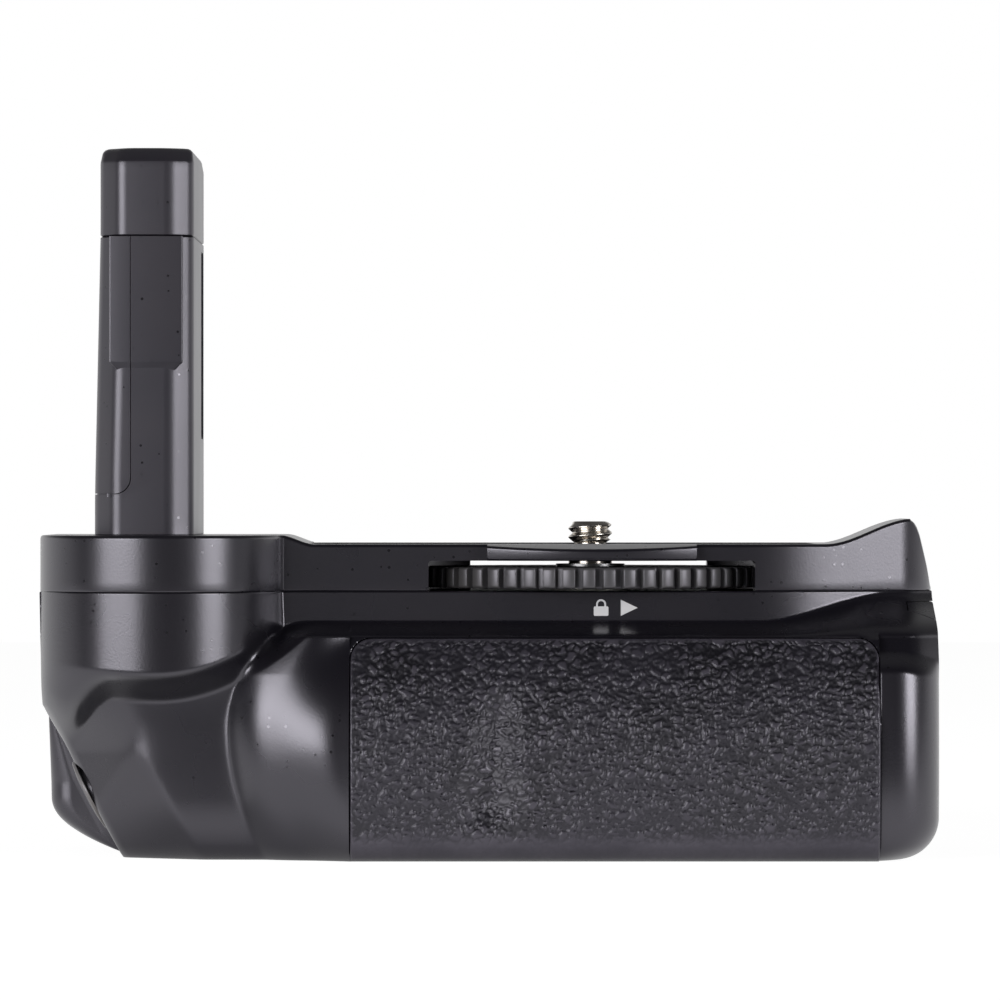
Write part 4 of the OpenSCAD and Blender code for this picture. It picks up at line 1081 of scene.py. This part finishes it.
# %% Thumb wheel and camera screw
TEETH, TOOTH_DEPTH, PITCH = 54, 1.3, 1.27
wheel_r, wheel_z0, wheel_z1 = wheel_high[0], wheel_low[2], wheel_high[2]


def wheel_loop(z, shrink):
    outer, root = wheel_r - shrink, wheel_r - TOOTH_DEPTH - 0.3 * shrink
    tooth = [(0.0, root), (0.015, root + 0.2), (0.03, outer - 0.16), (0.05, outer - 0.05), (0.08, outer),
             (0.60, outer), (0.63, outer - 0.05), (0.65, outer - 0.16), (0.665, root + 0.2), (0.68, root)]
    turn = [(2 * math.pi * (i + q) / TEETH, r) for i in range(TEETH) for q, r in tooth]
    return [(r * math.cos(a), r * math.sin(a), z) for a, r in turn]


roll = [(0.0, 0.42), (0.08, 0.2), (0.28, 0.03), (0.45, 0.0)]
wheel_rows = [(wheel_z0 + h, e) for h, e in roll] + [(wheel_z1 - h, e) for h, e in roll[::-1]]
wheel = lofted("thumb_wheel", [wheel_loop(z, shrink) for z, shrink in wheel_rows])
carve(wheel, bore(0, 0, wheel_z0 - 1, wheel_z1 + 1, 3.2, 64))
tie(wheel, "wheel", wheel_plastic, ["locking_wheel"], 35)


def threaded(rows, name, steps=72):
    """Turned solid about the Z axis; a row is (height, radius, depth of the thread there)."""
    a = np.linspace(0, 2 * math.pi, steps, endpoint=False)
    loops = []
    for z, r, deep in rows:
        saw = np.abs(np.mod(z / PITCH - a / (2 * math.pi), 1.0) * 2 - 1)
        cut = deep * np.clip((saw - 0.12) / 0.76, 0, 1)
        loops.append(np.stack([(r - cut) * np.cos(a), (r - cut) * np.sin(a), np.full(steps, z)], 1))
    return lofted(name, loops)


def plain(*rows):
    """Rows without a thread."""
    return [(z, r, 0) for z, r in rows]


screw_top, screw_r = screw_high[2], 3.175
screw_rows = plain(
    (screw_low[2], 1.6), (screw_low[2] + 0.2, 2), (PARTING + 0.15, 2), (PARTING + 0.15, 6),
    (wheel_z0, 6), (wheel_z0, screw_r), (wheel_z1, screw_r), (wheel_z1, 2.6),
    (wheel_z1 + 0.4, 2.6), (wheel_z1 + 0.4, screw_r), (DECK - 1.4, screw_r), (DECK - 1.4, 2.3),
    (DECK + 0.1, 2.3), (DECK + 0.35, 2.6))
screw_rows += [(z, screw_r, 0.55) for z in np.linspace(DECK + 0.55, screw_top - 0.6, 44)]
screw_rows += [(screw_top - 0.45, screw_r - 0.08, 0.45), (screw_top - 0.25, screw_r - 0.3, 0.3),
               (screw_top - 0.1, screw_r - 0.55, 0.15)]
screw_rows += plain((screw_top, 2.3), (screw_top - 0.15, 1.9), (screw_top - 0.2, 0.05))
camera_screw = threaded(screw_rows, "camera_screw")
tie(camera_screw, "wheel", nickel, ["mount_screw"], 40)

socket_rows = plain((4.7, 0.02), (4.7, 2.9))
socket_rows += [(z, 2.75, -0.42) for z in np.linspace(4.5, 0.55, 48)]
socket_rows += plain((0.4, 3.2), (0, 3.6), (0, 8.25), (0.06, 8.42), (0.22, 8.5), (1.2, 8.5), (1.2, 5),
                     (5.1, 5), (5.1, 0.02))
tripod = threaded(socket_rows, "tripod_bush")
tie(tripod, "grip_body", brass, ["tripod_socket"], 40)

# %% [markdown]
# The shutter button lies on the slanting floor of the notch, so it is turned about that floor's own
# normal. Its top is dished for a fingertip, and a pale ring around it has a rolled rim.

# %% Shutter button and its ring
BUTTON_R, DISH = 4.2, 0.35
button_rows = [(-3.1, 0.05), (-3.1, 1.3), (-3.0, 1.5), (-2.8, 1.5), (-2.8, 4.9), (-2.65, 5.1),
               (-2.25, 5.1), (-2.1, 4.9), (-2.1, BUTTON_R), (0.35, BUTTON_R),
               (0.5, BUTTON_R - 0.05), (0.6, BUTTON_R - 0.18), (0.64, BUTTON_R - 0.4)]
button_rows += [(0.64 - DISH * math.cos(r / 3.8 * math.pi / 2) ** 2, r) for r in np.linspace(3.75, 0.05, 12)]
button = turned(button_rows, NOTCH_AT, NOTCH_OUT, "release_button", 72)
tie(button, "shutter", latch_plastic, ["shutter_button"], 30)
ring_rows = [(-0.1, 4.35), (-0.1, 5.3), (-0.05, 5.4), (0.2, 5.4), (0.32, 5.34), (0.4, 5.2), (0.44, 5.0),
             (0.45, 4.85), (0.42, 4.6), (0.32, 4.43), (0.15, 4.37)]
across = np.array([0.0, 1.0, 0.0])
side = np.cross(NOTCH_OUT, across)
spokes = [math.cos(a) * across + math.sin(a) * side for a in np.linspace(0, 2 * math.pi, 97)[:-1]]
ring_loops = [[NOTCH_AT + h * NOTCH_OUT + r * spoke for h, r in ring_rows] for spoke in spokes]
ring = lofted("button_ring", ring_loops, ring=True)
tie(ring, "grip_body", bezel_plastic, ["shutter_bezel"], 35)

# %% [markdown]
# The battery door is the right-hand end. It is cut to the housing's own outline, so that it closes
# flush with the rounded corners, and hangs on a barrel hinge near the base. A thumb latch slides down
# on it; its ribs grow thicker towards the thumb.

# %% Battery door and latch
door_x0, LATCH_Y, LATCH_HALF, LIP_Z = 46.8, 2.7, 2.5, 32.8
latch_low, latch_high = box_mm("door_latch")
door = soft_block((door_x0, door_y0, LUG_Z), (RIGHT, door_y1, door_top),
                  1.6, 0.3, 0, (False, True), "end_door")
arm_z0, arm_z1 = HINGE[2] - BARREL_R + 0.4, HINGE[2] + BARREL_R - 0.4
for x0, z0, x1, z1 in ((door_x0, HINGE[2], RIGHT, LUG_Z + 0.6), (HINGE[0], arm_z0, door_x0 + 1, arm_z1)):
    carve(door, block((x0, KNUCKLE_Y0, z0), (x1, KNUCKLE_Y1, z1)), "UNION")
carve(door, hinge_rod(KNUCKLE_Y0 + 0.001, KNUCKLE_Y1 - 0.001, BARREL_R), "UNION")
carve(door, block((45.25, door_y0, LIP_Z), (door_x0 + 0.5, door_y0 + 7.5, door_top)), "UNION")
carve(door, loaf(0.0, "outer"), "INTERSECT")
carve(door, hinge_rod(KNUCKLE_Y0 - 1, KNUCKLE_Y1 + 1, 0.95))
carve(door, block((0, LATCH_Y - LATCH_HALF - 0.2, 23.1), (PAST_END, LATCH_Y + LATCH_HALF + 0.2, 32.5)))
tie(door, "door", housing_plastic, ["battery_door"], 28)
RIBS, LATCH_T, LATCH_FALL, RIB_DEEP, LATCH_ROLL = 9, 0.78, 0.42, 0.14, 0.3
rows = []
for z in np.linspace(latch_low[2], latch_high[2], 121):
    t = (z - latch_low[2]) / (latch_high[2] - latch_low[2])
    roll = float(drop(LATCH_ROLL, min(z - latch_low[2], latch_high[2] - z)))
    rib = RIB_DEEP * (0.5 - 0.5 * math.cos(2 * math.pi * t * RIBS)) * (0.08 < t < 0.75)
    x0 = RIGHT + 0.05
    x1 = x0 + max(0.08, LATCH_T - LATCH_FALL * t - rib - roll)
    y0, y1 = latch_low[1] + roll, latch_high[1] - roll
    rows.append(at_height(soft_polygon([(x0, y0), (x1, y0), (x1, y1), (x0, y1)], 0.25), z))
latch = lofted("thumb_latch", rows)
stem = block((door_x0 - 0.1, LATCH_Y - LATCH_HALF, 28.3), (RIGHT + 0.2, LATCH_Y + LATCH_HALF, 32.3))
carve(latch, stem, "UNION")
tie(latch, "latch", latch_plastic, ["door_latch"], 30)

# %% [markdown]
# The battery bay is a sleeve with two slots, one pack above the other. Its upper front edge is
# trimmed to the housing's slanting face, where the packs themselves are rounded.

# %% Battery bay
SLOT_H, BAY_WALL, BAY_SIDE, END_WALL = 14.4, 1.0, 0.8, 1.2
bay = block(bay_low, bay_high, "pack_sleeve")
for k in (0, 1):
    z = bay_low[2] + BAY_WALL + k * (SLOT_H + BAY_WALL)
    carve(bay, pocket((bay_low[0] + END_WALL, bay_low[1] + BAY_SIDE, z),
                      (PAST_END, bay_high[1] - BAY_SIDE, z + SLOT_H), 1.0, 0))
    for y in (-6, 0, 6):
        carve(bay, block((bay_low[0] - 1, y + 1, z + 4), (bay_low[0] + END_WALL + 1, y + 4.4, z + 7.4)))
carve(bay, hinge_rod(knuckle_y0, knuckle_y1, BARREL_R + DOOR_GAP))
carve(bay, loaf(1.1, "core"), "INTERSECT")
tie(bay, "grip_body", inner_plastic, ["battery_bay"], 30)

# %% [markdown]
# On the rear are a lock slider with grip ribs and the socket for a remote lead. On the deck lies a
# rubber pad with shallow grooves, so that the camera doesn't slip on it.

# %% Lock slider and deck pad
slider = soft_block((SLIDER_X - 4, slider_low[1] + 0.2, SLIDER_Z - 2.2),
                    (SLIDER_X + 4, slider_high[1], SLIDER_Z + 2.2), 0.8, 0.3, 1, (False, True), "lock_knob")
carve(slider, block((SLIDER_X - 5.5, slider_low[1], SLIDER_Z - 4),
                    (SLIDER_X + 5.5, slider_low[1] + 1.0, SLIDER_Z + 4)), "UNION")
for k in range(-2, 3):
    carve(slider, bore(SLIDER_X + 1.3 * k, slider_high[1] + 0.1, SLIDER_Z - 4.5, SLIDER_Z + 4.5, 0.42, 20))
tie(slider, "lock_slider", latch_plastic, ["power_slider"], 30)
pad = soft_block(pad_low, pad_high, 1.9, 0.2, 2, (False, True), "deck_pad")
carve(pad, bore(0, 0, pad_low[2] - 1, pad_high[2] + 1, 5.2, 72))
pad_x0, pad_x1 = pad_low[0] + 2, pad_high[0] - 2
for y in np.arange(pad_low[1] + 2.6, pad_high[1] - 1.5, 2.4):
    for x0, x1 in [(pad_x0, pad_x1)] if abs(y) > 6.4 else [(pad_x0, -7), (7, pad_x1)]:
        carve(pad, pocket((x0, y - 0.35, pad_high[2] - 0.25), (x1, y + 0.35, pad_high[2] + 1), 0.34, 2))
tie(pad, "grip_body", pad_rubber, ["top_pad"], 30)

# %% [markdown]
# Two small printed signs sit under the wheel: a closed padlock and an arrow for the locking turn.
# They are thin films of pale ink that follow the face, a few hundredths of a millimetre proud.

# %% Printed signs
INK = 0.03


def ink(name, outline):
    """Film in the shape of a closed outline of x and z, laid on the front face."""
    outline = np.asarray(outline, dtype=float)
    reach = form(outline[:, 0], outline[:, 1])
    loops = [np.stack([outline[:, 0], -(reach + lift), outline[:, 1]], 1) for lift in (-INK, INK)]
    return tie(lofted(name, loops), "grip_body", ink_print, (), 40)


ink_print = moulded("ink_print", (0.62, 0.62, 0.64), 0.55, 0.12, 1.0, 0.05, 0.5)
lock_x, lock_z, arrow_x, bow, bow_in = 1.3, 34.6, 5.3, 0.72, 0.45
bow_foot, bow_z = lock_z + 1.3, lock_z + 1.65
ink("print_lock_body", rounded_outline(lock_x - 1.05, lock_z, lock_x + 1.05, lock_z + 1.35, 0.2))
ink("print_lock_bow", np.concatenate([
    [(lock_x + bow, bow_foot)], arc(lock_x, bow_z, bow, 0, 180, 17),
    [(lock_x - bow, bow_foot), (lock_x - bow_in, bow_foot)],
    arc(lock_x, bow_z, bow_in, 180, 0, 17), [(lock_x + bow_in, bow_foot)]]))
ink("print_arrow", [(arrow_x - 1.2, lock_z), (arrow_x - 1.2, lock_z + 2.3), (arrow_x + 1.2, lock_z + 1.15)])

# %% [markdown]
# The pieces inside keep their CAD meshes, which are exact, and only need finishes. They show when the
# battery door is open or the shell is taken apart.

# %% Finishes of the inner pieces
inner = [(circuit_board, ["bay_board", "main_board", "post_board", "shutter_board"]),
         (gilt, ["bay_contacts", "post_contacts"]),
         (inner_plastic, ["board_chips", "power_switch", "remote_jack", "shutter_switch"]),
         (screw_steel, ["case_screws", "post_screws", "socket_screws", "wheel_plate_screws"]),
         (steel, ["hinge_pin", "latch_bolt", "latch_spring", "screw_clip", "shutter_spring",
                  "socket_plate", "wheel_plate"]),
         (foam, ["door_pads"]), (nylon, ["wheel_washer"]), (wire_jacket, ["wire_harness"])]
for material, nodes in inner:
    for node in nodes:
        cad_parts[node].data.materials.clear()
        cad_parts[node].data.materials.append(material)
print("inner pieces dressed:", sum(len(nodes) for _, nodes in inner))

# %% [markdown]
# The photo was taken against white with two tall soft boxes, one to the left of the camera and one
# further round to the right, and nothing overhead: faces that look up stay dark. The floor and the
# world are white to the camera. Reflections see them graded, bright close by and dark further off,
# as a dim studio is, and the floor's matt part takes the object's shadow.

# %% Stage, lights and camera
FLOOR_MM, FLOOR_X, LAMP_M, AIM_Z = 1500, 0.0147, 1.3, 0.04
corners = [(x * FLOOR_MM, y * FLOOR_MM, 0) for x, y in ((-1, -1), (1, -1), (1, 1), (-1, 1))]
floor = placed("floor", mesh_from("floor", corners, [[0, 1, 2, 3]]))
paper = bpy.data.materials.new("paper")
paper.use_nodes = True
f = Finish(paper.node_tree)
rays = f.add("ShaderNodeLightPath")
place = f.add("ShaderNodeTexCoord", out="Object")
depth = f.add("ShaderNodeSeparateXYZ", None, {0: place}, out=1)
across = f.add("ShaderNodeMath", {"operation": "ABSOLUTE"},
               {0: f.add("ShaderNodeSeparateXYZ", None, {0: place}) + FLOOR_X})
# painted shadow: the floor's glow, seen only in reflections, is dimmed under and beside the object where its
# shadow would fall
shade = f.ramp(across, 0.048, 0.066, 0.55, 0.0) * f.ramp(depth, -0.040, -0.026)
shade = shade * f.ramp(depth, 0.03, 0.06, 1.0, 0.0)
shine = Dial(f, rays.socket.node.outputs["Is Glossy Ray"]) * f.ramp(depth, -0.13, -0.05, 0.12, 1.0)
shine = shine * (1.0 - shade)
seen = Dial(f, rays.socket.node.outputs["Is Camera Ray"]) + shine
glow = f.add("ShaderNodeEmission", None, {"Strength": seen})
f.feed(glow.socket.node.inputs["Color"], f.blend(f.spread(400.0), (0.94, 0.94, 0.94), (0.95, 0.95, 0.95)))
matt = f.add("ShaderNodeBsdfDiffuse", None, {"Color": (0.25, 0.25, 0.25)})
both = f.add("ShaderNodeAddShader", None, {0: matt, 1: glow})
f.add("ShaderNodeOutputMaterial", None, {"Surface": both})
floor.data.materials.append(paper)
floor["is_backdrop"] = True

world = bpy.data.worlds.new("studio")
bpy.context.scene.world = world
world.use_nodes = True
w = Finish(world.node_tree)
rays = w.add("ShaderNodeLightPath").socket.node.outputs
way = w.add("ShaderNodeTexCoord", out="Generated")
ahead = w.add("ShaderNodeSeparateXYZ", None, {0: way}, out=1)
height = w.add("ShaderNodeSeparateXYZ", None, {0: way}, out=2)
sweep = (0.05 + w.ramp(ahead, -0.3, 0.6, 0.0, 0.95)) * w.ramp(height, 0.15, 0.5, 1.0, 0.1)
gloss = Dial(w, rays["Is Glossy Ray"]) * sweep
plain = Dial(w, rays["Is Diffuse Ray"]) * 0.12
level = Dial(w, rays["Is Camera Ray"]) + Dial(w, rays["Is Transmission Ray"]) + gloss + plain
back = w.add("ShaderNodeBackground", None, {"Color": (1, 1, 1), "Strength": level})
w.add("ShaderNodeOutputWorld", None, {"Surface": back})


def soft_box(name, turn, width, height, power, lift):
    """Tall lamp at an angle round the object, facing it."""
    lamp = bpy.data.lights.new(name, "AREA")
    lamp.shape, lamp.size, lamp.size_y, lamp.energy = "RECTANGLE", width, height, power
    made = bpy.data.objects.new(name, lamp)
    a = math.radians(turn)
    made.location = (LAMP_M * math.sin(a), -LAMP_M * math.cos(a), lift)
    made.rotation_euler = (Vector((0, 0, AIM_Z)) - made.location).to_track_quat("-Z", "Y").to_euler()
    bpy.context.scene.collection.objects.link(made)


soft_box("left_box", -39, 0.86, 0.85, 17.8, 0.10)
soft_box("right_box", 52, 0.54, 0.85, 13.4, 0.10)
view = bpy.data.cameras.new("photo_view")
view.lens, view.sensor_width = 252.6, 36.0
eye = bpy.data.objects.new("photo_view", view)
eye.location = (-0.0131, -1.019, 0.0511)
eye.rotation_euler = (math.pi / 2, 0, 0)
bpy.context.scene.collection.objects.link(eye)
bpy.context.scene.camera = eye
bpy.context.scene.view_settings.view_transform = "Standard"
print("stage, two lamps and the camera are set")

# %% [markdown]
# Last, the box of the CAD part and the box of the dressed part are written side by side, so that a
# piece that grew past the CAD part shows at once.

# %% Sizes and closing
dressed_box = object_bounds()
for label, box in (("cad", cad_box), ("dressed", dressed_box)):
    print(label, [[round(v / MM, 2) for v in corner] for corner in box])
